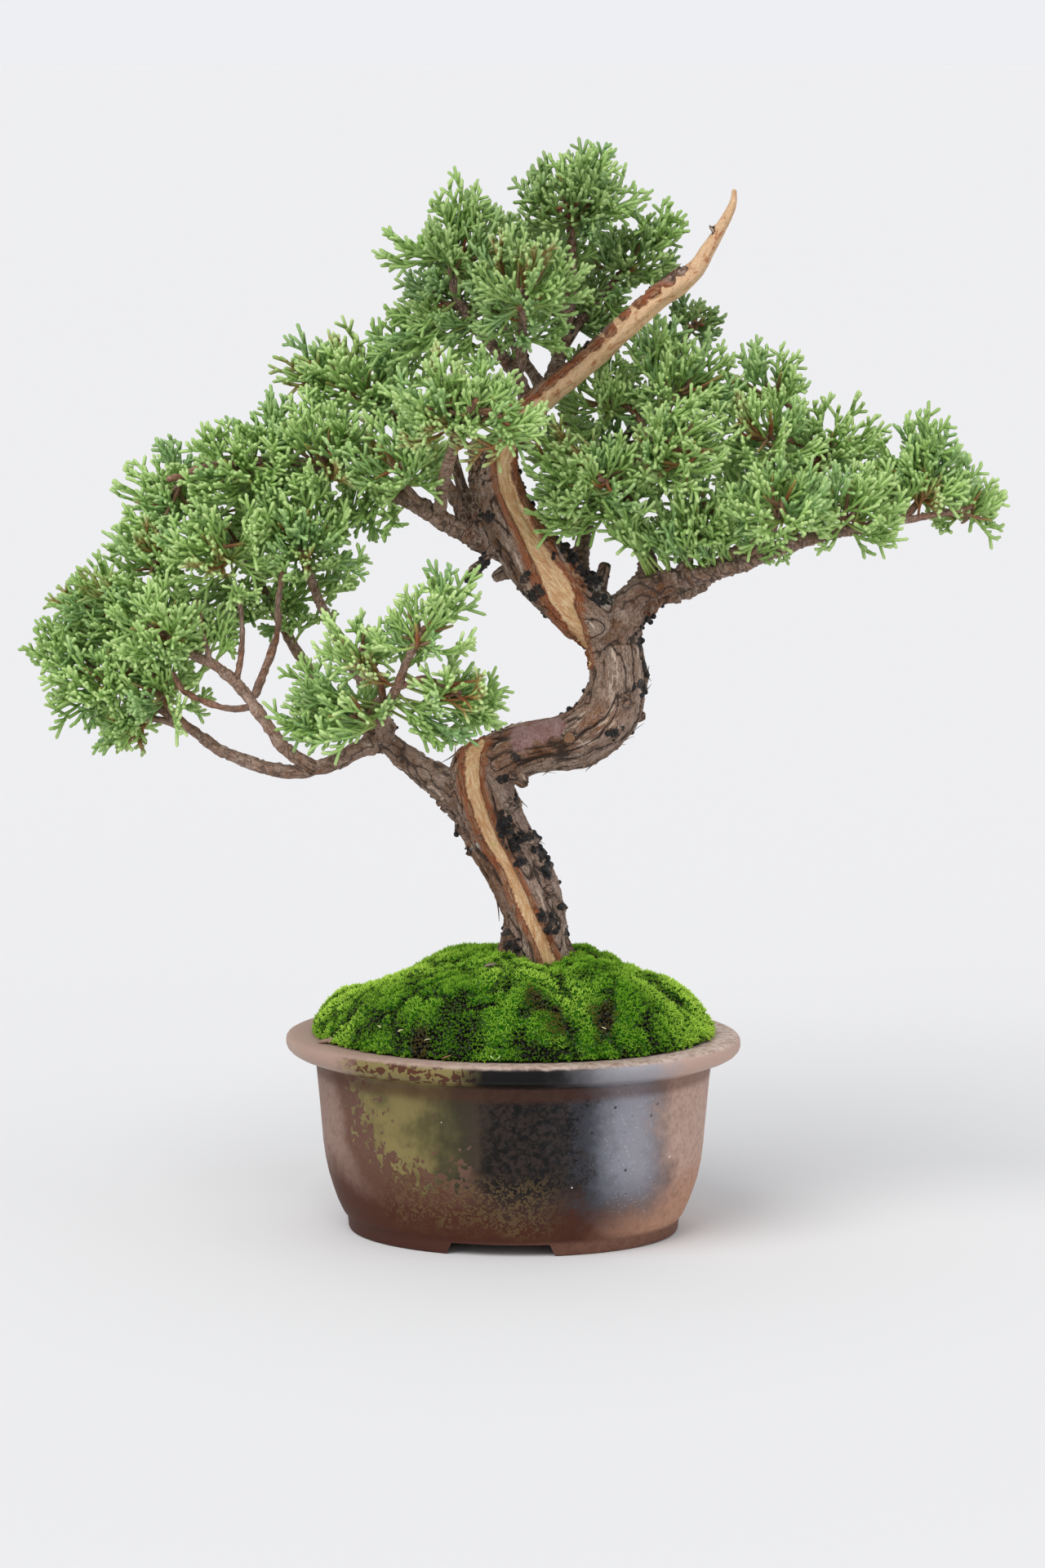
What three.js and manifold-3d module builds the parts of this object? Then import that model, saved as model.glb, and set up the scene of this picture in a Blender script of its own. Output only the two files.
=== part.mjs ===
// A small juniper bonsai in an oval stoneware pot. Millimetres, +Z up, origin under the pot's middle.
import * as THREE from 'three';
import { ConvexGeometry } from 'three/addons/geometries/ConvexGeometry.js';
import { mergeVertices } from 'three/addons/utils/BufferGeometryUtils.js';
import Module from 'manifold-3d';

const wasm = await Module();
wasm.setup();

// Driving dimensions of the pot, along its long side unless said otherwise
const rimWidth = 150;
const depthRatio = 0.8;
const rimHeight = 65.5;
const footHeight = 3.95;
const footWidth = 5.5;
const floorTop = 9;
const potSegments = 28;
const drainDiameter = 16;
const drainSpacing = 56;
const notchBottom = 36.5;
const notchTop = 32;

// Driving dimensions of what the pot holds
const mossWidth = 132;
const moundEdge = 11;
const moundRise = 19;
const mossThickness = 5;
const screenSide = 22;
const screenThickness = 1;
const screenHoles = 3;
const screenBar = 1.6;

// Gap that neighbouring pieces keep, and how far a hole is wider than what stands in it
const gap = 0.4;

// Driving dimensions of the tree
const cordThickness = 2.4;
const cordsPerArea = 0.0355;
const cordLift = 0.1;
const coreShare = 0.48;
const coreSpread = [0.72, 1.12];
const tipSpread = [0.88, 1.05];
const sprayDepth = 0.92;
const sprayHeight = 0.82;
const twigRadius = 1.1;
const sprayRoom = 4;

// Angle from one cord of a spray to the next, as the seeds of a sunflower stand
const goldenAngle = 2.4;

// Relief of the bark as shares of the trunk's radius: flutes [share, number round, turn along],
// and the bare strip with the two lips beside it
const flutes = [[0.05, 3, 7], [0.035, 5, -19]];
const stripSink = 0.12;
const lipRise = 0.07;
const lipAt = 1.6;
const lipSharpness = 3;

// The tree's front looks this far round from the pot's front, and its outline was
// measured from this point in front of it
const frontTurn = THREE.MathUtils.degToRad(5.5);
const viewpoint = new THREE.Vector3(3.1, -1694, 392);

const up = new THREE.Vector3(0, 0, 1);
const forward = new THREE.Vector3(0, -1, 0).applyAxisAngle(up, frontTurn);

// A repeatable random share, 0 to 1, for each whole number
function share(seed) {
  const wave = Math.sin(seed * 127.1 + 311.7) * 43758.5453;
  return wave - Math.floor(wave);
}

// The same between two ends
function between([least, most], seed) {
  return least + (most - least) * share(seed);
}

// A point of the tree seen at x and z of its front outline, moved along the line of sight
// to its depth, and turned with the tree on the pot
function seen(x, z, depth) {
  const point = new THREE.Vector3(x, 0, z).sub(viewpoint);
  point.multiplyScalar((depth - viewpoint.y) / -viewpoint.y).add(viewpoint);
  return point.applyAxisAngle(up, frontTurn);
}

function solidOf(geometry) {
  const bare = geometry.clone();
  bare.deleteAttribute('normal');
  bare.deleteAttribute('uv');
  const merged = mergeVertices(bare, 1e-4);
  const position = merged.getAttribute('position');
  return new wasm.Manifold(new wasm.Mesh({
    numProp: 3,
    vertProperties: new Float32Array(position.array),
    triVerts: new Uint32Array(merged.index.array),
  }));
}

function geometryOf(solid) {
  const mesh = solid.getMesh();
  const geometry = new THREE.BufferGeometry();
  geometry.setAttribute('position', new THREE.BufferAttribute(new Float32Array(mesh.vertProperties), 3));
  geometry.setIndex(new THREE.BufferAttribute(new Uint32Array(mesh.triVerts), 1));
  return geometry.toNonIndexed();
}

function joined(solids) {
  return solids.reduce((whole, solid) => whole.add(solid));
}

function largestOf(solid) {
  const pieces = solid.decompose();
  return pieces.reduce((best, piece) => (piece.volume() > best.volume() ? piece : best));
}

// A closed skin over a list of rings of points, with a fan at each end
function skin(rings) {
  const count = rings[0].length;
  const positions = rings.flat().flatMap((point) => point.toArray());
  const index = [];
  for (let ring = 0; ring + 1 < rings.length; ring += 1) {
    for (let corner = 0; corner < count; corner += 1) {
      const next = (corner + 1) % count;
      const a = ring * count + corner;
      const b = ring * count + next;
      index.push(a, b, b + count, a, b + count, a + count);
    }
  }
  const last = (rings.length - 1) * count;
  for (let corner = 1; corner + 1 < count; corner += 1) {
    index.push(0, corner + 1, corner, last, last + corner, last + corner + 1);
  }
  const geometry = new THREE.BufferGeometry();
  geometry.setAttribute('position', new THREE.BufferAttribute(new Float32Array(positions), 3));
  geometry.setIndex(index);
  return geometry;
}

// Pot: an oval turned section with a rolled lip, cut by the foot's notches and the drain holes

const lip = rimWidth / 2;
const innerWall = [
  [lip - 15.2, 58], [lip - 17, 40], [lip - 19, 20], [lip - 23, 12], [lip - 29, floorTop],
];

function oval(profile) {
  const points = profile.map(([radius, z]) => new THREE.Vector2(radius, z));
  const geometry = new THREE.LatheGeometry(points, potSegments);
  return geometry.rotateX(Math.PI / 2).scale(1, depthRatio, 1);
}

function potSolid() {
  const body = lip - 10;
  const profile = [
    [0, footHeight], [body - 10 - footWidth, footHeight], [body - 10.2 - footWidth, 0],
    [body - 10.5, 0], [body - 10.1, 4.2], [body - 9, 5.6], [body - 6.4, 11], [body - 3.5, 20],
    [body - 1.3, 40], [body, 54], [body + 0.6, 57.4], [lip - 1.6, 59.2], [lip, 62.4],
    [lip - 1, 64.6], [lip - 3.5, rimHeight], [lip - 12, rimHeight - 0.3], [lip - 14.5, 63.5],
    ...innerWall, [0, floorTop],
  ];
  const cuts = [-1, 1].map((side) => {
    const hole = new THREE.CylinderGeometry(drainDiameter / 2, drainDiameter / 2, 2 * floorTop, 16);
    return solidOf(hole.rotateX(Math.PI / 2).translate(side * drainSpacing / 2, 0, floorTop / 2));
  });
  const notch = new THREE.Shape([
    new THREE.Vector2(-notchBottom / 2, -1), new THREE.Vector2(notchBottom / 2, -1),
    new THREE.Vector2(notchTop / 2, footHeight), new THREE.Vector2(-notchTop / 2, footHeight),
  ]);
  const passage = new THREE.ExtrudeGeometry(notch, { depth: rimWidth, bevelEnabled: false });
  passage.rotateX(Math.PI / 2).translate(0, rimWidth / 2, 0);
  return solidOf(oval(profile)).subtract(joined([...cuts, solidOf(passage)]));
}

function boxSolid(width, depth, height, x, y, z) {
  return solidOf(new THREE.BoxGeometry(width, depth, height).translate(x, y, z));
}

function screenSolid(side) {
  const middle = side * drainSpacing / 2;
  const z = floorTop + gap + screenThickness / 2;
  const pitch = (screenSide - screenBar) / screenHoles;
  const holes = Array.from({ length: screenHoles ** 2 }, (_, cell) => {
    const column = cell % screenHoles - (screenHoles - 1) / 2;
    const row = Math.floor(cell / screenHoles) - (screenHoles - 1) / 2;
    const open = pitch - screenBar;
    return boxSolid(open, open, 2 * screenThickness, middle + column * pitch, row * pitch, z);
  });
  return boxSolid(screenSide, screenSide, screenThickness, middle, 0, z).subtract(joined(holes));
}

// Moss and soil: one mound, with hummocks [x, y, radius, height] on the moss

const hummocks = [
  [2, -24, 16, 5], [-29, -18, 14, 3.5], [-57, -2, 9, 5], [30, -12, 15, 3], [46, 6, 12, 3],
  [24, 14, 14, 3.5], [-17, 16, 14, 3.5], [-38, 15, 12, 1.5], [12, -42, 11, 3], [-20, -40, 11, 3],
  [38, -32, 10, 3], [-2, 36, 12, 3], [-46, -24, 10, 3],
];

// The mound rises steeply at its edge and then like a low cone
function moundTop(x, y, width) {
  const across = Math.min(1, Math.hypot(x, y / depthRatio) / (width / 2));
  return rimHeight + moundEdge * (1 - across ** 8) + moundRise * (1 - across) ** 0.8;
}

function mossTop(x, y) {
  return hummocks.reduce((z, [atX, atY, radius, height]) => (
    z + height * Math.exp(-((x - atX) ** 2 + (y - atY) ** 2) / radius ** 2)
  ), moundTop(x, y, mossWidth));
}

function soilTop(x, y) {
  return moundTop(x, y, 2 * (lip - 15)) - mossThickness * (1 - Math.hypot(x, y / depthRatio) / (lip - 14));
}

function ovalRing(radius, height) {
  return Array.from({ length: potSegments }, (_, step) => {
    const angle = step / potSegments * 2 * Math.PI;
    const x = radius * Math.sin(angle);
    const y = -radius * Math.cos(angle) * depthRatio;
    return new THREE.Vector3(x, y, height(x, y));
  });
}

// Radii of the rings that carry the soil's top and the moss over it, from the middle out
const soilRings = [18, 42, lip - 15];
const mossRings = [10, 23, 35, 46, 56, mossWidth / 2 - 2.5];

function mossSolid() {
  const edge = mossWidth / 2;
  const under = soilRings.map((radius) => ovalRing(radius, (x, y) => soilTop(x, y) + gap));
  const onLip = [[lip - 12.5, rimHeight + gap], [edge - 1, rimHeight + gap], [edge, rimHeight + 1.6]];
  const edges = onLip.map(([radius, z]) => ovalRing(radius, () => z));
  const over = mossRings.toReversed().map((radius) => ovalRing(radius, mossTop));
  return solidOf(skin([...under, ...edges, ...over]));
}

function soilSolid() {
  const sides = innerWall.toReversed().map(([radius, z]) => (
    ovalRing(radius - gap * 1.2, () => z + (z === floorTop ? gap : 0))
  ));
  const top = soilRings.toReversed().map((radius) => ovalRing(radius, soilTop));
  return solidOf(skin([...sides, ...top]));
}

// Wood: limbs are rows of [x, z, depth, radius] along the middle line

const trunkLower = [
  [9, 60, 0, 9], [9, 72, 0, 11], [9, 86, 0, 10.4], [8, 95, -1, 9.8], [6, 108, -1, 10],
  [1.5, 120, -1, 10.3], [-5, 133, 0, 10.3], [-10, 145, 0, 10.5], [-12, 154, 0, 8.5], [-12.5, 160, 0, 5],
];
const trunkMiddle = [
  [-11, 149, 0, 7.5], [-7, 154, 0, 9], [2, 159, -1, 8.8], [12, 161, -2, 8.6], [22, 164, -3, 9.6],
  [31, 171, -3, 10], [34, 181, -2, 9.6], [33, 192, 0, 9.2], [31, 201, 1, 7.5],
];
const trunkUpper = [
  [33, 194, 1, 7.5], [29, 201, 1, 8.6], [22, 207, 1, 8.8], [14, 215, 0, 9], [6, 224, -1, 9],
  [-1, 234, -2, 8.8], [-5, 246, -3, 7.6], [-4, 257, -4, 5.6], [1, 266, -5, 4.6], [10, 275, -6, 4.2],
  [20, 283, -8, 4.1], [35, 297, -10, 4.2], [48, 308, -12, 4], [57, 315, -13.5, 3], [62, 321, -14.5, 2.4],
  [66, 328, -15, 2], [70, 336, -16, 1.5], [71, 341, -16, 0.8],
];

const limbs = {
  buttress: [[3, 106, -3, 3.5], [-1, 98, -4, 4.4], [-4, 88, -5, 4.2], [-7, 76, -6, 3]],
  rootRight: [[11, 102, 2, 3.5], [16, 92, 1, 4.5], [19, 82, 0, 4], [22, 72, -1, 3]],
  rootBack: [[8, 104, 5, 3.5], [9, 93, 9, 4.5], [10, 83, 12, 4], [11, 72, 15, 3]],
  low: [
    [-13, 146, 0, 6], [-20, 150, -1, 5.2], [-28, 155, -3, 4.2], [-35, 160, -5, 3.6],
    [-42, 163, -7, 3.3], [-50, 160, -9, 3], [-58, 156, -10, 2.7], [-66, 154, -10, 2.6],
    [-75, 154, -8, 2.4], [-85, 157, -5, 2.2], [-95, 161, -1, 2], [-105, 168, 3, 1.8],
    [-117, 174, 8, 1.6], [-130, 181, 13, 1.3], [-140, 190, 16, 1],
  ],
  lowInner: [
    [-64, 154, -10, 2.2], [-73, 161, -13, 2.1], [-82, 173, -14, 2], [-86, 179, -14, 2],
    [-96, 186, -13, 1.8], [-104, 191, -10, 1.6], [-114, 198, -4, 1.4], [-124, 206, 4, 1.1],
  ],
  lowBack: [
    [-45, 164, -8, 2.3], [-55, 172, -2, 2.1], [-62, 180, 4, 2], [-68, 188, 9, 1.9],
    [-74, 198, 13, 1.8], [-80, 210, 16, 1.6], [-88, 224, 17, 1.4], [-97, 237, 15, 1.1],
  ],
  lowMiddle: [
    [-40, 165, -7, 2.2], [-47, 178, -6, 2], [-53, 188, -5, 1.9], [-58, 198, -5, 1.8],
    [-63, 208, -6, 1.6], [-68, 222, -8, 1.4], [-72, 236, -8, 1.1],
  ],
  lowFront: [
    [-41, 163, -8, 2.2], [-43, 166, -22, 1.9], [-42, 172, -36, 1.7], [-38, 180, -47, 1.5],
    [-34, 190, -52, 1.2], [-30, 197, -54, 1],
  ],
  left: [
    [3, 224, 0, 5], [-6, 226, -1, 4], [-13, 229, -2, 3.4], [-20, 233, -3, 3.1], [-28, 238, -4, 3],
    [-38, 243, -3, 2.6], [-50, 248, 0, 2.3], [-64, 252, 3, 2], [-80, 254, 5, 1.7],
    [-96, 253, 6, 1.5], [-112, 248, 6, 1.1],
  ],
  leftFront: [
    [-24, 236, -4, 2.2], [-23, 245, -18, 2], [-20, 256, -34, 1.8], [-16, 267, -48, 1.4], [-12, 274, -56, 1],
  ],
  leftRise: [[-14, 230, -2, 2.4], [-20, 244, 4, 2.1], [-30, 258, 11, 1.8], [-40, 270, 16, 1.4], [-46, 277, 18, 1]],
  right: [
    [33, 196, 0, 7], [37, 206, -1, 5.8], [42, 212, -3, 5], [50, 215, -6, 3.8], [62, 217, -10, 3.2],
    [75, 221, -13, 2.8], [86, 226, -14, 2.5], [98, 230, -12, 2.2], [112, 233, -8, 1.9],
    [126, 237, -3, 1.6], [140, 240, 2, 1.3], [150, 242, 5, 1],
  ],
  rightRise: [
    [41, 211, -2, 4], [44, 219, -2, 3.4], [42, 228, -3, 2.8], [39, 238, -5, 2.4], [40, 249, -7, 2],
    [44, 260, -7, 1.6], [48, 270, -5, 1.1],
  ],
  rightBack: [
    [38, 204, 2, 4.5], [48, 210, 10, 3.8], [60, 214, 19, 3.2], [70, 222, 26, 2.8], [80, 230, 30, 2.3],
    [90, 242, 31, 1.9], [98, 254, 28, 1.5], [104, 262, 24, 1.1],
  ],
  rearStem: [
    [22, 208, 4, 4], [22, 220, 14, 3.2], [24, 234, 25, 2.6], [28, 248, 36, 2.1], [34, 258, 44, 1.6],
    [40, 266, 49, 1.1],
  ],
  top: [
    [2, 262, -2, 3.4], [9, 272, 6, 3], [14, 284, 12, 2.6], [17, 297, 13, 2.2], [19, 310, 12, 1.8],
    [19, 324, 8, 1.4], [18, 334, 4, 1],
  ],
  topLeft: [
    [6, 270, -4, 2.8], [1, 282, -3, 2.4], [-6, 291, -4, 2.1], [-13, 299, -5, 1.8], [-19, 310, -7, 1.4],
    [-20, 320, -8, 1],
  ],
  topFront: [[2, 284, -5, 2], [3, 292, -14, 1.7], [3, 301, -24, 1.4], [3, 310, -31, 1]],
  topBack: [[10, 277, 9, 2.2], [4, 286, 20, 1.9], [-2, 296, 30, 1.6], [-4, 306, 37, 1]],
  topRight: [[16, 292, 13, 2], [24, 302, 17, 1.7], [32, 311, 18, 1.4], [38, 318, 17, 1]],
};

// Broken, burnt and pruned stubs: [x, z, depth, radius] from the root of each to its end
const stubs = [
  [[-4, 229, -4, 2], [-9, 222, -7, 1.4], [-13, 218, -8, 2.2]],
  [[-12, 219, -8, 1.6], [-15, 215, -8, 1.2]],
  [[24, 203, 2, 3.5], [28, 212, 4, 2.6], [30, 220, 5, 1.8]],
  [[26, 210, 4, 2.2], [22, 216, 6, 1.4]],
  [[19, 163, -9, 3], [18, 164, -13.5, 2.4]],
  [[36, 176, -9, 3], [38, 176, -13, 2.2]],
  [[41, 185, 0, 3], [45, 188, -1, 2]],
  [[41, 171, 0, 2.6], [44, 169, -1, 1.8]],
  [[3, 130, -7, 2.6], [6, 131, -10.5, 1.8]],
  [[-1, 141, -8, 2.4], [2, 142, -11, 1.8]],
  [[10, 112, -7, 2.6], [13, 113, -10, 1.8]],
  [[-14, 134, -2, 2.4], [-18, 135, -3, 1.6]],
  [[0, 152, -6, 3], [4, 148, -8, 2]],
  [[66, 328, -15, 1.4], [72, 330, -15, 0.6]],
  [[70, 335, -16, 1.2], [73.5, 338, -16, 0.5]],
  [[-2, 218, 2, 2.6], [-6, 216, 3, 1.8]],
];

// A limb is a tapered tube through its rows, its rings squared to the path and turned as little
// as they can be from one to the next. The first corner of each ring on the trunk looks to the
// front, so a bare strip can be sunk at a set angle round it.
function limbSolid(rows, sides, step, grow, shape = () => 1) {
  const points = rows.map(([x, z, depth]) => seen(x, z, depth));
  const path = new THREE.CatmullRomCurve3(points, false, 'centripetal');
  const radii = new THREE.CatmullRomCurve3(rows.map((row, at) => new THREE.Vector3(at, row[3], 0)));
  const count = Math.max(2, Math.round(path.getLength() / step) + 1);
  const rings = [];
  const out = (Math.abs(path.getTangent(0).dot(forward)) > 0.9 ? up : forward).clone();
  for (let ring = 0; ring < count; ring += 1) {
    const along = ring / (count - 1);
    const middle = path.getPoint(along);
    const tangent = path.getTangent(along);
    out.addScaledVector(tangent, -out.dot(tangent)).normalize();
    const side = tangent.clone().cross(out);
    const radius = radii.getPoint(along).y;
    rings.push(Array.from({ length: sides }, (_, corner) => {
      const angle = corner / sides * 2 * Math.PI;
      const reach = radius * shape(angle, along) + grow / Math.cos(Math.PI / sides);
      return middle.clone()
        .addScaledVector(out, reach * Math.cos(angle))
        .addScaledVector(side, reach * Math.sin(angle));
    }));
  }
  const shift = path.getTangent(0).multiplyScalar(-grow);
  const end = path.getTangent(1).multiplyScalar(grow);
  rings[0].forEach((point) => point.add(shift));
  rings.at(-1).forEach((point) => point.add(end));
  return solidOf(skin(rings));
}

// Flutes along the trunk, and a bare strip sunk between two lips of live bark
function barkShape(stripAngle, stripWidth, stripFrom, stripTo) {
  return (angle, along) => {
    const relief = flutes.reduce((sum, [size, round, turn]) => (
      sum + size * Math.cos(round * angle + turn * along)
    ), 0);
    const fromStrip = Math.abs(THREE.MathUtils.euclideanModulo(
      angle - stripAngle + Math.PI, 2 * Math.PI,
    ) - Math.PI) / stripWidth;
    const lips = lipRise * Math.exp(-((fromStrip - lipAt) ** 2) * lipSharpness);
    const present = along > stripFrom && along < stripTo;
    return 1 + relief + (present ? lips - stripSink * Math.exp(-(fromStrip ** 2)) : 0);
  };
}

// The short shoot that carries a spray: a bent twig from its limb to the spray's middle
function twigRows(spray) {
  const rows = limbs[spray.limb];
  const [x, z, depth] = spray.at;
  let nearest = 0;
  rows.forEach((row, at) => {
    const distance = Math.hypot(row[0] - x, row[1] - z, row[2] - depth);
    const best = Math.hypot(rows[nearest][0] - x, rows[nearest][1] - z, rows[nearest][2] - depth);
    nearest = distance < best ? at : nearest;
  });
  const root = rows[Math.max(1, nearest - 1)];
  const bend = rows[nearest];
  const middle = [0, 1, 2].map((axis) => 0.25 * root[axis] + 0.35 * bend[axis] + 0.4 * spray.at[axis]);
  return [
    [root[0], root[1], root[2], twigRadius * 1.25], [...middle, twigRadius],
    [x, z, depth, twigRadius * 0.8],
  ];
}

function woodSolid(grow) {
  const solids = [
    limbSolid(trunkLower, 14, 7, grow, barkShape(-0.1, 0.32, 0.2, 0.95)),
    limbSolid(trunkMiddle, 12, 7, grow, barkShape(0, 0.3, 2, 2)),
    limbSolid(trunkUpper, 10, 8, grow, barkShape(0.1, 0.42, 0.04, 0.55)),
  ];
  for (const rows of Object.values(limbs)) {
    solids.push(limbSolid(rows, 5, 17, grow));
  }
  for (const rows of stubs) {
    solids.push(limbSolid(rows, 4, 7, grow));
  }
  for (const spray of sprays) {
    solids.push(limbSolid(twigRows(spray), 3, 20, grow));
  }
  return joined(solids);
}

// Sprays of foliage: [x, z, depth, reach] of each, in the group of the limb that carries it
const sprayGroups = {
  top: [[16, 338, 0, 24], [8, 320, 30, 24], [25, 302, 25, 19]],
  topLeft: [[-17, 325, -8, 23], [-26, 303, 4, 22]],
  topFront: [[6, 313, -26, 23]],
  topRight: [[42, 320, 16, 21]],
  left: [[-36, 254, -14, 22], [-62, 257, -6, 22], [-90, 252, -4, 24], [-84, 240, 28, 22], [-116, 243, 16, 22]],
  leftFront: [[-22, 275, -46, 24], [-3, 268, -50, 18]],
  leftRise: [[-50, 281, 14, 24]],
  lowMiddle: [[-70, 232, -12, 22]],
  lowBack: [[-98, 226, -16, 22], [-119, 222, 6, 20]],
  lowInner: [[-114, 200, -14, 22], [-136, 204, 14, 23]],
  low: [[-139, 183.5, 4, 23], [-116, 181, -2, 19], [-129, 168, 8, 12]],
  lowFront: [[-48, 194, -44, 19], [-26, 202, -54, 19], [-14, 182, -50, 18], [-48, 172, -40, 17]],
  right: [[88, 242, -28, 21], [112, 242, -12, 20], [131, 253, 8, 22], [150, 241, 16, 18], [62, 237, -14, 19]],
  rightRise: [[28, 248, -18, 21], [54, 259, -22, 23], [58, 281, 4, 22], [30, 275, 12, 21]],
  rightBack: [[80, 263, -8, 23], [87, 283, 18, 21], [106, 262, 14, 24], [81, 246, 34, 22]],
  rearStem: [[50, 256, 50, 23], [22, 257, 38, 20], [60, 299, 34, 12]],
};

const sprays = Object.entries(sprayGroups).flatMap(([limb, rows]) => rows.map((row, at) => ({
  name: `foliage_${limb}_${at + 1}`, limb, at: row.slice(0, 3), reach: row[3],
})));

// A spray is a small uneven knot of shoots with cords standing out on all sides, in even
// steps. Each cord is three-sided and grows out of its own small face.
function sprayDirections(spray, seed) {
  const count = Math.round(cordsPerArea * spray.reach ** 2);
  const turn = 2 * Math.PI * share(seed);
  return Array.from({ length: count }, (_, cord) => {
    const height = 1 - 2 * (cord + 0.5) / count;
    const level = Math.sqrt(1 - height ** 2);
    const angle = turn + cord * goldenAngle + between([0, 0.3], seed + cord);
    return new THREE.Vector3(level * Math.cos(angle), level * Math.sin(angle), height);
  });
}

// The three corners of a cord's foot or tip on the unit ball, for a cord of the given half width
function cordCorners(direction, halfWidth) {
  const side = new THREE.Vector3(-direction.y, direction.x, 0.4).cross(direction).normalize();
  const other = direction.clone().cross(side);
  return [0, 1, 2].map((corner) => direction.clone()
    .addScaledVector(side, halfWidth * Math.cos(corner * 2 * Math.PI / 3))
    .addScaledVector(other, halfWidth * Math.sin(corner * 2 * Math.PI / 3)));
}

function inPlace(point, spray) {
  return point.clone().multiply(new THREE.Vector3(1, sprayDepth, sprayHeight)).add(seen(...spray.at));
}

function plannedSpray(spray, seed) {
  const half = cordThickness * 0.6;
  const cords = sprayDirections(spray, seed).map((direction, cord) => {
    const foot = spray.reach * coreShare * between(coreSpread, seed + 7 + cord);
    const tip = spray.reach * between(tipSpread, seed + 90 + cord);
    const lifted = direction.clone().addScaledVector(up, cordLift).normalize();
    return {
      feet: cordCorners(direction, half / foot).map((point) => point.multiplyScalar(foot)),
      tips: cordCorners(lifted, half * 0.8 / tip).map((point) => point.multiplyScalar(tip)),
      ball: cordCorners(direction, half / foot).map((point) => point.normalize()),
    };
  });
  return { spray, cords };
}

// The faces between the cords' feet are those of the ball's hull. A cord that is left out keeps
// its foot as a face.
function sprayGeometry(plan, kept) {
  const ball = plan.cords.flatMap((cord) => cord.ball);
  const feet = plan.cords.flatMap((cord) => cord.feet);
  const hull = new ConvexGeometry(ball).getAttribute('position');
  const nearest = (point) => ball.reduce((best, other, at) => (
    other.distanceToSquared(point) < ball[best].distanceToSquared(point) ? at : best
  ), 0);
  const faces = [];
  for (let face = 0; face < hull.count; face += 3) {
    const corners = [0, 1, 2].map((corner) => nearest(new THREE.Vector3().fromBufferAttribute(hull, face + corner)));
    const cord = Math.floor(corners[0] / 3);
    const isFoot = corners.every((corner) => Math.floor(corner / 3) === cord);
    const points = corners.map((corner) => feet[corner]);
    if (isFoot && kept[cord]) {
      const tips = corners.map((corner) => plan.cords[cord].tips[corner % 3]);
      [0, 1, 2].forEach((corner) => {
        const next = (corner + 1) % 3;
        faces.push(points[corner], points[next], tips[next], points[corner], tips[next], tips[corner]);
      });
      faces.push(...tips);
    } else {
      faces.push(...points);
    }
  }
  return new THREE.BufferGeometry().setFromPoints(faces.map((point) => inPlace(point, plan.spray)));
}

function roomyCord(cord, spray) {
  const middle = seen(...spray.at);
  const rings = [cord.feet, cord.tips].map((ring) => ring.map((point) => inPlace(point, spray)));
  const axis = rings[1][0].clone().sub(rings[0][0]).normalize();
  rings.forEach((ring, end) => {
    const centre = ring[0].clone().add(ring[1]).add(ring[2]).divideScalar(3);
    ring.forEach((point) => {
      point.addScaledVector(point.clone().sub(centre).normalize(), 2 * gap);
      point.addScaledVector(axis, end ? gap : 0);
    });
  });
  return solidOf(skin(rings));
}

const near = (a, b) => seen(...a.at).distanceTo(seen(...b.at)) < a.reach + b.reach + sprayRoom;

// A cord that would meet the wood or another spray is left out
function spraySolids(room) {
  const plans = sprays.map((spray, at) => plannedSpray(spray, at * 31));
  const bodies = plans.map((plan) => solidOf(sprayGeometry(plan, [])));
  plans.forEach((plan, at) => {
    const others = bodies.filter((body, index) => index !== at && near(plan.spray, sprays[index]));
    const kept = plan.cords.map((cord) => {
      const roomy = roomyCord(cord, plan.spray);
      return [room, ...others].every((other) => roomy.intersect(other).isEmpty());
    });
    bodies[at] = solidOf(sprayGeometry(plan, kept));
  });
  return bodies.map((body) => largestOf(body.subtract(room)));
}

const finish = (color, roughness, metalness = 0) => (
  new THREE.MeshStandardMaterial({ color, roughness, metalness, flatShading: true })
);
const stoneware = finish(0x54453b, 0.38);
const mesh = finish(0x22221f, 0.6);
const earth = finish(0x3b2c20, 0.95);
const mossGreen = finish(0x4f8f1e, 0.9);
const bark = finish(0x7d6350, 0.85);
const greens = [finish(0x5c9a48, 0.6), finish(0x6aa850, 0.6), finish(0x4f8c46, 0.6)];

const bonsai = new THREE.Group();

function addPiece(name, solid, material) {
  const piece = new THREE.Mesh(geometryOf(solid), material);
  piece.name = name;
  bonsai.add(piece);
}

const wood = woodSolid(0);
const room = woodSolid(gap);
const screens = [-1, 1].map(screenSolid);
const pockets = [-1, 1].map((side) => {
  const width = screenSide + 2 * gap;
  return boxSolid(width, width, 2 * (screenThickness + gap), side * drainSpacing / 2, 0, floorTop + gap);
});

addPiece('pot', potSolid(), stoneware);
addPiece('drain_screen_left', screens[0], mesh);
addPiece('drain_screen_right', screens[1], mesh);
addPiece('soil', largestOf(soilSolid().subtract(joined([room, ...pockets]))), earth);
addPiece('moss', largestOf(mossSolid().subtract(room)), mossGreen);
addPiece('trunk', largestOf(wood), bark);
spraySolids(room).forEach((solid, at) => addPiece(sprays[at].name, solid, greens[at % greens.length]));

export default bonsai;
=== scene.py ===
import math

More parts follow.
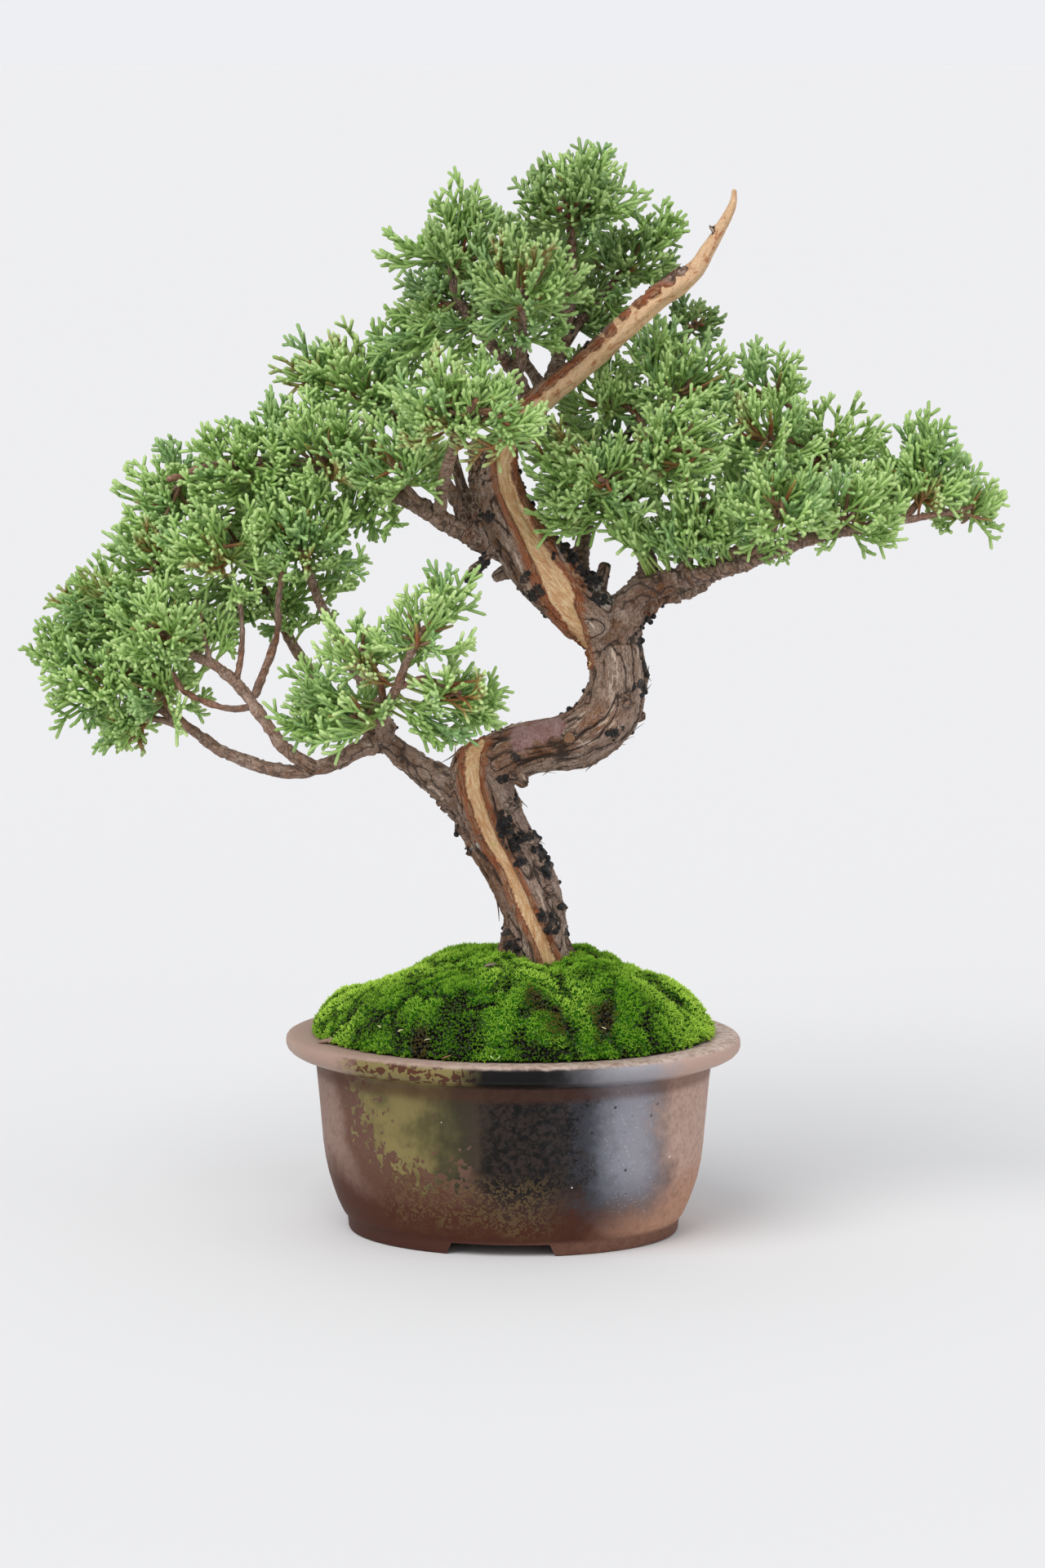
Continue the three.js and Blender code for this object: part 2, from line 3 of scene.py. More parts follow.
import bpy
import numpy as np
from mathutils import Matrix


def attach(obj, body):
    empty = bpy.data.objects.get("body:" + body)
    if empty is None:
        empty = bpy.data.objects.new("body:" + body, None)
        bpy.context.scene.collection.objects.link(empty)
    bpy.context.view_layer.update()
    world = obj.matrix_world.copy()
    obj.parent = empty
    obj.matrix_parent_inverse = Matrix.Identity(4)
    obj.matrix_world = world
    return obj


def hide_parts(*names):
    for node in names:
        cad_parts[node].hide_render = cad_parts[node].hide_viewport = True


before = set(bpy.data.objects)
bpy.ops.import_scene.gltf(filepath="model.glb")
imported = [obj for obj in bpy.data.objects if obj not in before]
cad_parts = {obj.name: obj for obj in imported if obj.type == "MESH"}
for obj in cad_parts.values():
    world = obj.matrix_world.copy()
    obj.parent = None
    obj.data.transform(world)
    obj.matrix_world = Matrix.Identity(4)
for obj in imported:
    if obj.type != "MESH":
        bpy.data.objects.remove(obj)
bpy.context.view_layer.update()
scene = bpy.context.scene
mm = 0.001
up = np.array([0.0, 0.0, 1.0])
# Where the random draws and noises of each piece start
seeds = {
    "moss": 7, "bark": 3, "limbs": 19, "limbBark": 70, "shreds": 23, "beads": 29, "sprays": 200,
    "limbSprigs": 31,
}
print("frame loaded,", len(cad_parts), "nodes")

# The camera stands where the photograph was taken from, in front of the tree. The tree's front
# looks a little further round than the pot's.
viewing = {
    "turn": math.radians(5.5),
    "eye": np.array([3.1, -1694.0, 392.0]),
    "pitch": math.radians(8.19),
    "lens": 120.0,
    "sensor": 36.0,
}
turnCos, turnSin = math.cos(viewing["turn"]), math.sin(viewing["turn"])
turnTable = np.array([[turnCos, -turnSin, 0.0], [turnSin, turnCos, 0.0], [0.0, 0.0, 1.0]])
forward = turnTable @ np.array([0.0, -1.0, 0.0])


# Rows of x, z and depth: x and z in the tree's front outline, moved along the line of sight to the
# depth and then turned with the tree
def seen(rows):
    eye = viewing["eye"]
    x, z, depth = np.moveaxis(np.asarray(rows, float), -1, 0)
    point = np.stack([x, 0 * x, z], -1) - eye
    point = point * ((depth - eye[1]) / -eye[1])[..., None] + eye
    return point @ turnTable.T


# The other way round: x and z of the front outline for points of the model
def outlineOf(points):
    eye = viewing["eye"]
    local = points @ turnTable - eye
    local = local * (-eye[1] / local[..., 1])[..., None] + eye
    return local[..., 0], local[..., 2]


def addCamera():
    data = bpy.data.cameras.new("camera")
    data.lens, data.sensor_width, data.sensor_fit = viewing["lens"], viewing["sensor"], "AUTO"
    data.clip_start, data.clip_end = 0.05, 100.0
    camera = bpy.data.objects.new("camera", data)
    camera.location = turnTable @ viewing["eye"] * mm
    camera.rotation_euler = (math.pi / 2 - viewing["pitch"], 0.0, viewing["turn"])
    scene.collection.objects.link(camera)
    scene.camera = camera


# sRGB numbers of a finish as they are seen, made into Blender's linear colour
def colour(red, green, blue):
    shares = np.array([red, green, blue]) / 255
    return np.where(shares < 0.04045, shares / 12.92, ((shares + 0.055) / 1.055) ** 2.4)


# A socket that can be added, multiplied and compared like a number
class Socket:
    def __init__(self, tree, out):
        self.tree, self.out = tree, out

    def node(self, kind, settings=None, values=None, output=0):
        made = self.tree.nodes.new("ShaderNode" + kind)
        for name, value in (settings or {}).items():
            setattr(made, name, value)
        for name, value in (values or {}).items():
            if isinstance(value, Socket):
                self.tree.links.new(value.out, made.inputs[name])
            else:
                made.inputs[name].default_value = value
        return Socket(self.tree, made.outputs[output])

    def maths(self, operation, *values):
        return self.node("Math", {"operation": operation}, dict(enumerate(values)))

    def __add__(self, other):
        return self.maths("ADD", self, other)

    def __sub__(self, other):
        return self.maths("SUBTRACT", self, other)

    def __rsub__(self, other):
        return self.maths("SUBTRACT", other, self)

    def __mul__(self, other):
        return self.maths("MULTIPLY", self, other)

    __radd__ = __add__
    __rmul__ = __mul__

    # 0 below low, 1 above high, with a soft step between
    def between(self, low, high):
        limits = {"Value": self, "From Min": low, "From Max": high}
        return self.node("MapRange", {"interpolation_type": "SMOOTHSTEP"}, limits)

    # 1 between the two middle numbers and 0 outside the other two
    def band(self, start, full, fading, end):
        return self.between(start, full) * (1 - self.between(fading, end))

    def larger(self, other):
        return self.maths("MAXIMUM", self, other)

    def size(self):
        return self.maths("ABSOLUTE", self)

    # What is left above the whole number below
    def fraction(self):
        return self - self.maths("FLOOR", self)

    def sine(self):
        return self.maths("SINE", self)

    def parts(self):
        split = self.node("SeparateXYZ", {}, {"Vector": self}).out.node
        return [Socket(self.tree, out) for out in split.outputs]


# A colour mixed between two by a share; each colour may be a socket or fixed numbers
def mixed(share, low, high):
    ends = [end if isinstance(end, Socket) else (*end, 1.0) for end in (low, high)]
    return share.node("Mix", {"data_type": "RGBA"}, {0: share, 6: ends[0], 7: ends[1]}, output=2)


# A new material: its Principled shader and a socket of its tree to start from
def newLook(name, fixed):
    material = bpy.data.materials.new(name)
    material.use_nodes = True
    tree = material.node_tree
    shader = tree.nodes["Principled BSDF"]
    for socket, value in fixed.items():
        shader.inputs[socket].default_value = value
    return material, shader, Socket(tree, tree.nodes.new("ShaderNodeTexCoord").outputs["Object"])


def connect(shader, **links):
    for name, socket in links.items():
        socket.tree.links.new(socket.out, shader.inputs[name.replace("_", " ")])


# Noise round a place, in cells of the given size in millimetres
def noiseAt(place, cell, detail=3.0, rough=0.55, distortion=0.0):
    values = {
        "Vector": place, "Scale": 1 / (cell * mm), "Detail": detail,
        "Roughness": rough, "Distortion": distortion,
    }
    return place.node("TexNoise", {}, values)


# Distance to the nearest of scattered points, one for each cell of the given size
def dotsAt(place, cell):
    return place.node("TexVoronoi", {}, {"Vector": place, "Scale": 1 / (cell * mm)})


# What the points of a mesh are marked with: a colour (0), a vector (1) or an alpha (3)
def markOf(place, name, output=0):
    return place.node("Attribute", {"attribute_name": name}, output=output)


def brightened(paint, change):
    return paint.node("BrightContrast", {}, {"Color": paint, "Bright": change, "Contrast": 0.0})


def bumpOf(height, depth, strength=1.0):
    return height.node("Bump", {}, {"Height": height, "Distance": depth * mm, "Strength": strength})


# A mesh from whole arrays in millimetres; each array in faces holds polygons of one size
def makePiece(name, points, faces, look, slot, stands=(), marks=None, smooth=True):
    mesh = bpy.data.meshes.new(name)
    corners = np.concatenate([group.ravel() for group in faces]).astype(np.int32)
    sizes = np.concatenate([np.full(len(group), group.shape[1]) for group in faces])
    starts = np.concatenate([[0], np.cumsum(sizes)[:-1]]).astype(np.int32)
    mesh.vertices.add(len(points))
    mesh.vertices.foreach_set("co", (points * mm).astype(np.float32).ravel())
    mesh.loops.add(len(corners))
    mesh.loops.foreach_set("vertex_index", corners)
    mesh.polygons.add(len(sizes))
    mesh.polygons.foreach_set("loop_start", starts)
    mesh.polygons.foreach_set("use_smooth", np.full(len(sizes), smooth))
    for mark, values in (marks or {}).items():
        kind, field = ("FLOAT_COLOR", "color") if values.shape[1] == 4 else ("FLOAT_VECTOR", "vector")
        attribute = mesh.attributes.new(mark, kind, "POINT")
        attribute.data.foreach_set(field, values.astype(np.float32).ravel())
    mesh.update(calc_edges=True)
    mesh.materials.append(look)
    piece = bpy.data.objects.new(name, mesh)
    scene.collection.objects.link(piece)
    if slot:
        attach(piece, "root")
    if stands:
        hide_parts(*stands)
    return piece


# Several shells in one mesh: their points follow one another
def merged(shells):
    points = np.concatenate([shell[0] for shell in shells])
    offsets = np.cumsum([0] + [len(shell[0]) for shell in shells])
    faces = [group + offset for shell, offset in zip(shells, offsets) for group in shell[1]]
    return points, faces


def smoothStep(low, high, value):
    share = np.clip((value - low) / (high - low), 0.0, 1.0)
    return share * share * (3 - 2 * share)


def blended(low, high, share):
    return low + (high - low) * share[..., None]


def withAlpha(paint, alpha=1.0):
    return np.concatenate([paint, np.full((*paint.shape[:-1], 1), alpha)], -1)


def unit(vectors):
    return vectors / np.linalg.norm(vectors, axis=-1, keepdims=True)


def turnsOf(count):
    return 2 * np.pi * np.arange(count) / count


# A direction turned from one arm towards another, cos · first + sin · second
def turned(angle, first, second):
    return np.cos(angle)[..., None] * first + np.sin(angle)[..., None] * second


# Vectors without their share along an axis
def crosswise(vectors, axis):
    return vectors - np.sum(vectors * axis, axis=-1, keepdims=True) * axis


# A hill of height 1 round a spot, exp(−distance² / size²)
def hill(x, y, atX, atY, size):
    return np.exp(-((x - atX) ** 2 + (y - atY) ** 2) / size ** 2)


# Smooth noise from -1 to 1: random numbers at the corners of cells, blended by 3t² − 2t³
def noise(points, cell, seed):
    place = points / cell
    base = np.floor(place).astype(np.int64)
    share = place - base
    share = share * share * (3 - 2 * share)
    total = np.zeros(points.shape[:-1])
    for corner in range(8):
        offset = np.array([corner & 1, corner >> 1 & 1, corner >> 2])
        key = (base + offset) * np.array([73856093, 19349663, 83492791])
        mixture = key[..., 0] ^ key[..., 1] ^ key[..., 2] ^ (seed * 2654435761)
        mixture = ((mixture ^ (mixture >> 13)) * 1274126177) & 0x7FFFFFFF
        value = ((mixture ^ (mixture >> 16)) & 0xFFFF) / 32767.5 - 1
        total += value * np.prod(np.where(offset, share, 1 - share), axis=-1)
    return total


# The same with finer noise of half the size added on top
def layeredNoise(points, cell, seed, layers=3):
    return sum(noise(points, cell / 2 ** k, seed + k) / 2 ** k for k in range(layers)) / 1.6


# Three arms along each path: the tangent, an out arm that turns as little as it can from ring to
# ring, and the side arm, which is tangent × out
def armsAlong(paths, firstOut):
    tangents = unit(np.gradient(paths, axis=1))
    outs = np.empty_like(paths)
    out = np.broadcast_to(firstOut, paths[:, 0].shape)
    for ring in range(paths.shape[1]):
        tangent = tangents[:, ring]
        out = unit(crosswise(out, tangent))
        outs[:, ring] = out
    return tangents, outs, np.cross(tangents, outs)


# Quads between rows of point numbers that close round
def quadsRound(index):
    ahead = np.roll(index, -1, axis=-1)
    corners = [index[..., :-1, :], ahead[..., :-1, :], ahead[..., 1:, :], index[..., 1:, :]]
    return np.stack(corners, -1).reshape(-1, 4)


# Tubes: ring + radius · (cos a · out + sin a · side), closed by a flat base and a blunt tip
def tubes(paths, radii, sides, firstOut, relief=0.0, twist=0.0, tip=0.6):
    tangents, outs, sideArms = armsAlong(paths, firstOut)
    count, rings = radii.shape
    angles = turnsOf(sides) + twist * np.arange(rings)[:, None]
    around = turned(angles, outs[:, :, None], sideArms[:, :, None])
    points = paths[:, :, None] + (radii[:, :, None] * (1 + relief))[..., None] * around
    tips = paths[:, -1] + tangents[:, -1] * radii[:, -1:] * tip
    index = np.arange(count * rings * sides).reshape(count, rings, sides)
    tipIndex = np.broadcast_to(index.size + np.arange(count)[:, None], (count, sides))
    fans = np.stack([index[:, -1], np.roll(index[:, -1], -1, axis=1), tipIndex], -1).reshape(-1, 3)
    return np.concatenate([points.reshape(-1, 3), tips]), [quadsRound(index), fans, index[:, 0, ::-1]]


# Numbers given for each ring of each tube, spread to the points that tubes() makes
def perPoint(values, sides):
    spread = np.repeat(values[:, :, None], sides, axis=2)
    return np.concatenate([spread.reshape(-1, values.shape[-1]), values[:, -1]])


# Pot: an oval turned section of (radius, height), cut by the foot's notches (width below and above,
# height) and the drain holes (radius, distance from the middle, floor height)
pot = {
    "depthRatio": 0.8, "steps": 184,
    "waver": 0.25, "waverCell": 24.0,
    "notch": (36.5, 32.0, 3.95),
    "drain": (8.0, 28.0, 9.0),
    "recess": [(0, 3.95), (30, 3.95), (48.2, 3.95), (49.3, 3.7), (49.5, 3.2), (49.4, 1.0)],
    "foot": [(49.6, 0.35), (50.2, 0), (53.6, 0), (54.3, 0.25), (54.65, 0.9), (54.8, 2.6), (54.95, 4.0),
             (55.2, 4.7), (55.7, 5.3), (56.2, 5.9)],
    "wall": [(57, 7.4), (58.4, 10.6), (59.9, 14.7), (61.1, 18.6), (62.2, 24), (62.9, 29.5), (63.4, 35),
             (63.9, 41), (64.4, 47), (64.9, 52), (65.2, 54.6), (65.5, 56.2)],
    "lip": [(66.4, 57), (67.8, 57.6), (70, 58.3), (72.2, 59.1), (73.7, 60), (74.6, 61), (75, 62.1),
            (75, 63.2), (74.85, 64.1), (74.35, 64.8), (73.4, 65.3), (72, 65.5), (68, 65.55),
            (64.5, 65.45), (62.6, 65.1), (61.2, 64.3), (60.5, 63.2), (60.1, 61.5)],
    "inside": [(59.8, 58), (59.1, 50), (58.2, 41), (57.3, 31), (56.2, 21), (54.6, 16.5), (52.3, 12.7),
               (49.5, 10.3), (46, 9.15), (42, 9), (20, 9), (0, 9)],
}


# A closed skin from rings (a row of points for each), with one point at each end
def skinOf(rings, first, last):
    rows, count = rings.shape[:2]
    index = np.arange(rows * count).reshape(rows, count)
    firstFan = np.stack([np.roll(index[0], -1), index[0], np.full(count, index.size)], -1)
    lastFan = np.stack([index[-1], np.roll(index[-1], -1), np.full(count, index.size + 1)], -1)
    return np.concatenate([rings.reshape(-1, 3), [first, last]]), [quadsRound(index), firstFan, lastFan]


def extruded(outline, low, high, axis):
    count = len(outline)
    flat = np.array(outline, float)
    layers = [np.insert(flat, axis, level, axis=1) for level in (low, high)]
    index = np.arange(count)
    ahead = np.roll(index, -1)
    walls = np.stack([index, ahead, ahead + count, index + count], -1)
    return np.concatenate(layers), [walls, index[None, ::-1], index[None] + count]


def oval(radius, angles):
    return radius * np.sin(angles), -radius * np.cos(angles) * pot["depthRatio"]


def potShape(settings):
    sections = [settings[part] for part in ("recess", "foot", "wall", "lip", "inside")]
    profile = np.array(sum(sections, []), float)
    angles = turnsOf(settings["steps"])
    radius, height = profile[1:-1, 0, None], profile[1:-1, 1, None] + 0 * angles
    rings = np.stack([*oval(radius, angles), height], -1)
    # The wall wavers a little, as pressed and thrown clay does, and the foot stands flat
    waver = layeredNoise(rings * np.array([1, 1, 2.5]), settings["waverCell"], 5) * settings["waver"]
    rings[..., :2] += unit(rings[..., :2]) * (waver * smoothStep(5, 12, height))[..., None]
    return skinOf(rings, (0, 0, profile[0, 1]), (0, 0, profile[-1, 1]))


def potCutters(settings):
    bottom, top, height = settings["notch"]
    passage = [(-bottom / 2, -1), (bottom / 2, -1), (top / 2, height), (-top / 2, height)]
    radius, spacing, floor = settings["drain"]
    turn = turnsOf(40)
    shells = [extruded(passage, 80, -80, 1)]
    for side in (-1, 1):
        ring = np.stack([side * spacing + radius * np.cos(turn), radius * np.sin(turn)], -1)
        shells.append(extruded(ring, height - 2, floor + 3, 2))
    return shells


# Cut with one cutter after the other, and keep the result as the piece's own mesh
def cutPiece(piece, shells, look):
    for points, faces in shells:
        cutter = makePiece("cutter", points, faces, look, None, smooth=False)
        cut = piece.modifiers.new("cut", "BOOLEAN")
        cut.operation, cut.solver, cut.object = "DIFFERENCE", "EXACT", cutter
        finished = piece.evaluated_get(bpy.context.evaluated_depsgraph_get())
        piece.data = bpy.data.meshes.new_from_object(finished)
        piece.modifiers.clear()
        bpy.data.objects.remove(cutter)
    piece.data.set_sharp_from_angle(angle=math.radians(40))


stoneware = {
    "leftClay": colour(142, 116, 104), "rightClay": colour(186, 156, 142), "lowClay": colour(72, 36, 22),
    "lowRightClay": colour(182, 138, 114), "rim": colour(202, 182, 170), "rimSpot": colour(162, 135, 121),
    "olive": colour(126, 114, 70), "oliveDeep": colour(92, 84, 50), "oliveDark": colour(44, 42, 30),
    "worm": colour(82, 48, 32), "net": colour(102, 84, 54), "black": colour(10, 8, 8),
    # The bright steel, the lip's pale steel and the glints are painted reflection on the steel glaze
    "steel": colour(60, 62, 68), "steelReflection": colour(144, 146, 157), "lipSteelSheen": colour(158, 156, 162),
    "paintedGlint": colour(196, 199, 206), "pit": colour(46, 38, 35), "foot": colour(70, 39, 29),
    "footLight": colour(140, 102, 84), "speck": colour(226, 222, 210),
}
# Where each finish lies, in millimetres: across the pot, (front) from its middle forwards, and (Up)
# above its foot. Two numbers are a soft edge, and four a band's start, full width and end.
glaze = {
    "front": (4.0, 24.0), "clay": (10.0, 52.0), "lowClay": (24.0, 52.0), "lowUp": (12.0, 34.0),
    "black": (-16.0, -3.0, 32.0, 48.0), "blackUp": (10.0, 24.0),
    "steel": (10.0, 28.0, 46.0, 58.0), "steelUp": (6.0, 22.0), "speckled": (14.0, 38.0),
    "paintedSheen": (27.0, 41.0, 44.0, 56.0), "paintedSheenUp": (8.0, 30.0),
    "olive": (-62.0, -32.0), "oliveUp": (12.0, 44.0), "oliveEnd": (-14.0, 2.0),
    "oliveDark": (-30.0, -8.0), "brownEnd": (-18.0, 0.0), "dotsUp": (40.0, 52.0),
    "net": (-44.0, -30.0, 8.0, 26.0), "netUp": (5.0, 14.0, 22.0, 32.0),
    "lipShadowUp": (51.0, 54.0, 56.6, 57.6), "lipUp": (57.6, 58.6), "lipTopUp": (64.2, 65.2),
    "lipOlive": (-56.0, -43.0), "lipBlack": (-16.0, -2.0), "lipSteelSheen": (14.0, 46.0),
    "lipClay": (44.0, 62.0), "rim": (-70.0, 40.0),
    "footUp": (3.6, 5.6), "footLight": (-30.0, 50.0), "specksUp": (4.0, 8.0),
}


# Fired clay with natural ash on its front: an olive glaze that breaks into islands at its left and
# lower edge, black in the middle and steel to the right, with a band of reflected light and white
# glints painted on the steel
def stonewareLook(paint, zone):
    material, shader, place = newLook("stonewareLook", {"IOR": 1.5, "Specular IOR Level": 0.18})
    x, y, z = [part * 1000.0 for part in place.parts()]
    wander = noiseAt(place, 16, 4, 0.6) - 0.5
    drift = noiseAt(place, 5, 4, 0.6) - 0.5
    fine = noiseAt(place, 2.2, 5, 0.65, 0.6)
    grit = noiseAt(place, 0.7, 2, 0.6)
    track = noiseAt(place, 2.6, 2, 0.5, 0.8)
    front = (y * -1.0).between(*zone["front"])
    xWaver = x + wander * 20.0 + drift * 6.0
    zWaver = z + wander * 18.0 + drift * 6.0

    shade = mixed(xWaver.between(*zone["clay"]), paint["leftClay"], paint["rightClay"])
    low = mixed(xWaver.between(*zone["lowClay"]), paint["lowClay"], paint["lowRightClay"])
    shade = mixed(1 - zWaver.between(*zone["lowUp"]), shade, low)
    shade = mixed(fine.between(0.4, 0.7) * 0.3, shade, paint["worm"])

    # Black ash, and the steel with its painted reflection (a bright band with white glints) and its pits
    black = front * xWaver.band(*zone["black"]) * zWaver.between(*zone["blackUp"])
    shade = mixed(black * (0.9 + 0.1 * fine.between(0.4, 0.6)), shade, paint["black"])
    steel = front * xWaver.band(*zone["steel"]) * zWaver.between(*zone["steelUp"])
    # A band of painted reflection down the steel, brighter higher up, with painted glints in it
    paintedSheen = (x + drift * 7.0).band(*zone["paintedSheen"])
    metal = mixed(paintedSheen * z.between(*zone["paintedSheenUp"]), paint["steel"], paint["steelReflection"])
    metal = mixed(noiseAt(place, 1.1, 3, 0.7).between(0.56, 0.72) * paintedSheen * 0.6, metal, paint["paintedGlint"])
    speckled = xWaver.between(*zone["speckled"]) * 1.4 + (grit - 0.5) * 2.6 + drift * 1.6
    shade = mixed(steel * (0.2 + 0.8 * speckled.between(0.2, 0.9)) * 0.9, shade, metal)
    pits = dotsAt(place, 6)
    shade = mixed((1 - pits.between(0.07, 0.11)) * steel * 0.8, shade, paint["pit"])

    # The olive patch covers the clay where its cover is above a noise with worm-like tracks
    slanted = x + (z - 45.0) * 0.25 + wander * 8.0
    cover = slanted.between(*zone["olive"]) * (z + wander * 10.0 - x * 0.12).between(*zone["oliveUp"])
    patch = (cover * 0.56 - track + 0.17).between(-0.012, 0.012) * front
    dots = (1 - pits.between(0.10, 0.13)) * (1 - z.between(*zone["dotsUp"]))
    patch = patch * (1 - dots) * (1 - xWaver.between(*zone["oliveEnd"]))
    olive = mixed(noiseAt(place, 10, 4, 0.6).between(0.35, 0.68), paint["olive"], paint["oliveDeep"])
    olive = mixed(xWaver.between(*zone["oliveDark"]), olive, paint["oliveDark"])
    around = front * cover.between(0.05, 0.25) * (1 - xWaver.between(*zone["brownEnd"]))
    shade = mixed(patch, mixed(around * 0.75, shade, paint["worm"]), olive)
    netted = noiseAt(place, 1.5, 2, 0.5, 1.2).between(0.50, 0.54)
    below = front * x.band(*zone["net"]) * zWaver.band(*zone["netUp"]) * (1 - patch)
    shade = mixed(below * netted * 0.6, shade, paint["net"])

    # The lip's top is plain clay and its face carries the ash on, with painted reflection on its steel
    # part; a brown band of painted shadow lies under it
    shade = mixed(z.band(*zone["lipShadowUp"]) * 0.55, shade, paint["worm"])
    islands = mixed((track + (grit - 0.5) * 0.2).between(0.47, 0.50), paint["worm"], paint["olive"])
    lip = mixed(xWaver.between(*zone["lipOlive"]) * front, paint["rimSpot"], islands)
    lip = mixed(xWaver.between(*zone["lipBlack"]) * front, lip, paint["black"])
    # The lip's steel part is pale: steel glaze with a painted reflection on it
    lip = mixed(xWaver.between(*zone["lipSteelSheen"]) * front, lip, paint["lipSteelSheen"])
    lip = mixed(xWaver.between(*zone["lipClay"]), lip, paint["rightClay"])
    face = z.between(*zone["lipUp"])
    top = (z + drift * 1.2).between(*zone["lipTopUp"])
    rim = mixed(xWaver.between(*zone["rim"]), paint["rimSpot"], paint["rim"])
    rim = mixed(fine.between(0.4, 0.65), rim, paint["rimSpot"])
    shade = mixed(top, mixed(face, shade, lip), rim)
    foot = mixed(fine * x.between(*zone["footLight"]), paint["foot"], paint["footLight"])
    shade = mixed(1 - z.between(*zone["footUp"]), shade, foot)
    specks = (1 - dotsAt(place, 10).between(0.03, 0.045)) * z.between(*zone["specksUp"])
    shade = mixed(specks * 0.8, shade, paint["speck"])
    shade = mixed(grit.between(0.62, 0.74) * 0.2, shade, paint["pit"])

    glazed = patch.larger(black).larger(steel * 0.8).larger(face * front * 0.8) * (1 - top)
    roughness = 0.6 - glazed * 0.3 + (fine - 0.5) * 0.14
    normal = bumpOf(fine * 0.35 + grit * 0.25 + patch * 0.5, 0.12, 0.6)
    connect(shader, Base_Color=shade, Roughness=roughness, Metallic=steel * 0.3, Normal=normal)
    return material


def buildPot():
    look = stonewareLook(stoneware, glaze)
    piece = makePiece("potBody", *potShape(pot), look, "stoneware", ["pot"])
    cutPiece(piece, potCutters(pot), look)


# Soil and drain screens keep their CAD solids; each has two colours, a grain size and a roughness
plastic = (colour(36, 36, 33), colour(24, 24, 22), 0.5, 0.55)
hidden = {
    "soil": (colour(62, 46, 34), colour(28, 20, 15), 1.8, 0.95),
    "drain_screen_left": plastic, "drain_screen_right": plastic,
}


def dressHidden():
    for node, (light, dark, cell, rough) in hidden.items():
        material, shader, place = newLook(node + "Look", {"Roughness": rough})
        crumb = noiseAt(place, cell, 5, 0.7)
        shade = mixed(crumb.between(0.35, 0.65), dark, light)
        connect(shader, Base_Color=shade, Normal=bumpOf(crumb, cell / 3))
        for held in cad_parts[node].material_slots:
            held.material = material


# Moss: a mound with hummocks (x, y, radius, height), covered with small tufts of spikes. It grows
# thin or dry round the spots (x, y, radius) listed below; round the lushAndLit spots its tips are
# painted brighter, as lusher growth and painted light.
moss = {
    "width": 132.0, "rim": 65.5, "edge": 11.0, "rise": 19.0, "thickness": 5.0, "gap": 0.4, "lip": 75.0,
    "hummocks": [(2, -24, 16, 5), (-29, -18, 14, 1.4), (-61, 0, 8, 3.6), (30, -14, 15, 4.4),
                 (45, 6, 12, 2.6), (59, 2, 9, 2.8), (24, 18, 13, 4.6), (38, 6, 8, -1.4), (-20, 14, 14, 3),
                 (-42, 12, 12, -3), (12, -42, 11, 3), (-20, -40, 11, 3), (40, -30, 11, 5), (-2, 36, 12, 3),
                 (-46, -24, 10, 1.6), (9, -12, 8, -3.4), (17, -14, 7, -1.6)],
    "thin": [(11, -39, 3.8), (33, -38, 4.4), (-41, -34, 5), (-17, -44, 5), (23, -44, 3), (-25, -47, 4.6),
             (-11, -50, 4), (26, -22, 4), (-33, -40, 4), (-13, -36, 4), (-8, -46, 4), (-48, -24, 4),
             (-22, -30, 3)],
    "lushAndLit": [(58, -6, 15), (46, 22, 13), (-58, -4, 12), (-32, -6, 15), (22, -33, 8), (0, -22, 9),
             (4, 22, 14), (-50, -28, 5)],
    "dry": [(11, -39, 5), (33, -38, 6), (18, -44, 5), (-25, -47, 4)],
    "cushion": 7.6, "cushionHeight": 1.1, "clump": 3.3, "clumpHeight": 0.7, "warp": 2.5, "warpCell": 9.0,
    "steps": 144, "rings": 54,
    "tufts": 11700, "wallTufts": 620, "scatter": 0.4, "spike": 1.35, "spikeWidth": 0.40, "spikes": 4,
    "lean": 0.72, "rootDepth": 0.25, "sunk": 1.2, "sunkEdge": 8.0,
}
# shadedBed, under and deep are painted shade in the moss's depths, creases and thin spots
mossShades = {
    "shadedBed": colour(22, 22, 6), "under": colour(52, 98, 6), "deep": colour(36, 78, 2),
    "leaf": colour(98, 170, 14), "tip": colour(218, 250, 104), "brown": colour(100, 70, 42),
    "seedling": colour(196, 228, 150), "leafLitter": colour(150, 124, 108), "curl": colour(146, 108, 78),
    "barkBit": colour(134, 118, 110), "straw": colour(226, 214, 172),
}
# The angle from one seed to the next in a sunflower, in radians
seedTurn = 2.39996


# A place's distance from the middle, as if the pot were round
def ovalReach(x, y):
    return np.hypot(x, y / pot["depthRatio"])


# The plain mound: a steep edge, 1 − r⁸, and a flat cone, (1 − r)^0.8, on the pot's rim
def moundTop(x, y, width):
    across = np.minimum(1, ovalReach(x, y) / (width / 2))
    return moss["rim"] + moss["edge"] * (1 - across ** 8) + moss["rise"] * (1 - across) ** 0.8


# The mound, its hummocks and the small cushions that the moss grows in, parted by creases. All but
# its edge is sunk a little.
def mossTop(x, y):
    z = moundTop(x, y, moss["width"])
    for atX, atY, radius, height in moss["hummocks"]:
        z = z + height * hill(x, y, atX, atY, radius)
    cushion, clump = cushions(x, y)
    half = moss["width"] / 2
    sunk = moss["sunk"] * (1 - smoothStep(half - moss["sunkEdge"], half, ovalReach(x, y)))
    return z + cushion * moss["cushionHeight"] + clump * moss["clumpHeight"] - sunk


# How far the cushions and clumps stand up at each place: both are ridges between creases, where a
# warped noise crosses zero
def cushions(x, y):
    flat = np.stack([x, y, np.full_like(x, 3.3)], -1)
    warp = np.stack([noise(flat, moss["warpCell"], seed) for seed in (11, 12)] + [0 * x], -1)
    warped = flat + moss["warp"] * warp
    crease = np.abs(noise(warped, moss["cushion"], 13))
    clump = np.abs(noise(warped, moss["clump"], 15))
    return smoothStep(0.0, 0.35, crease) - 0.75, smoothStep(0.0, 0.45, clump) - 0.6


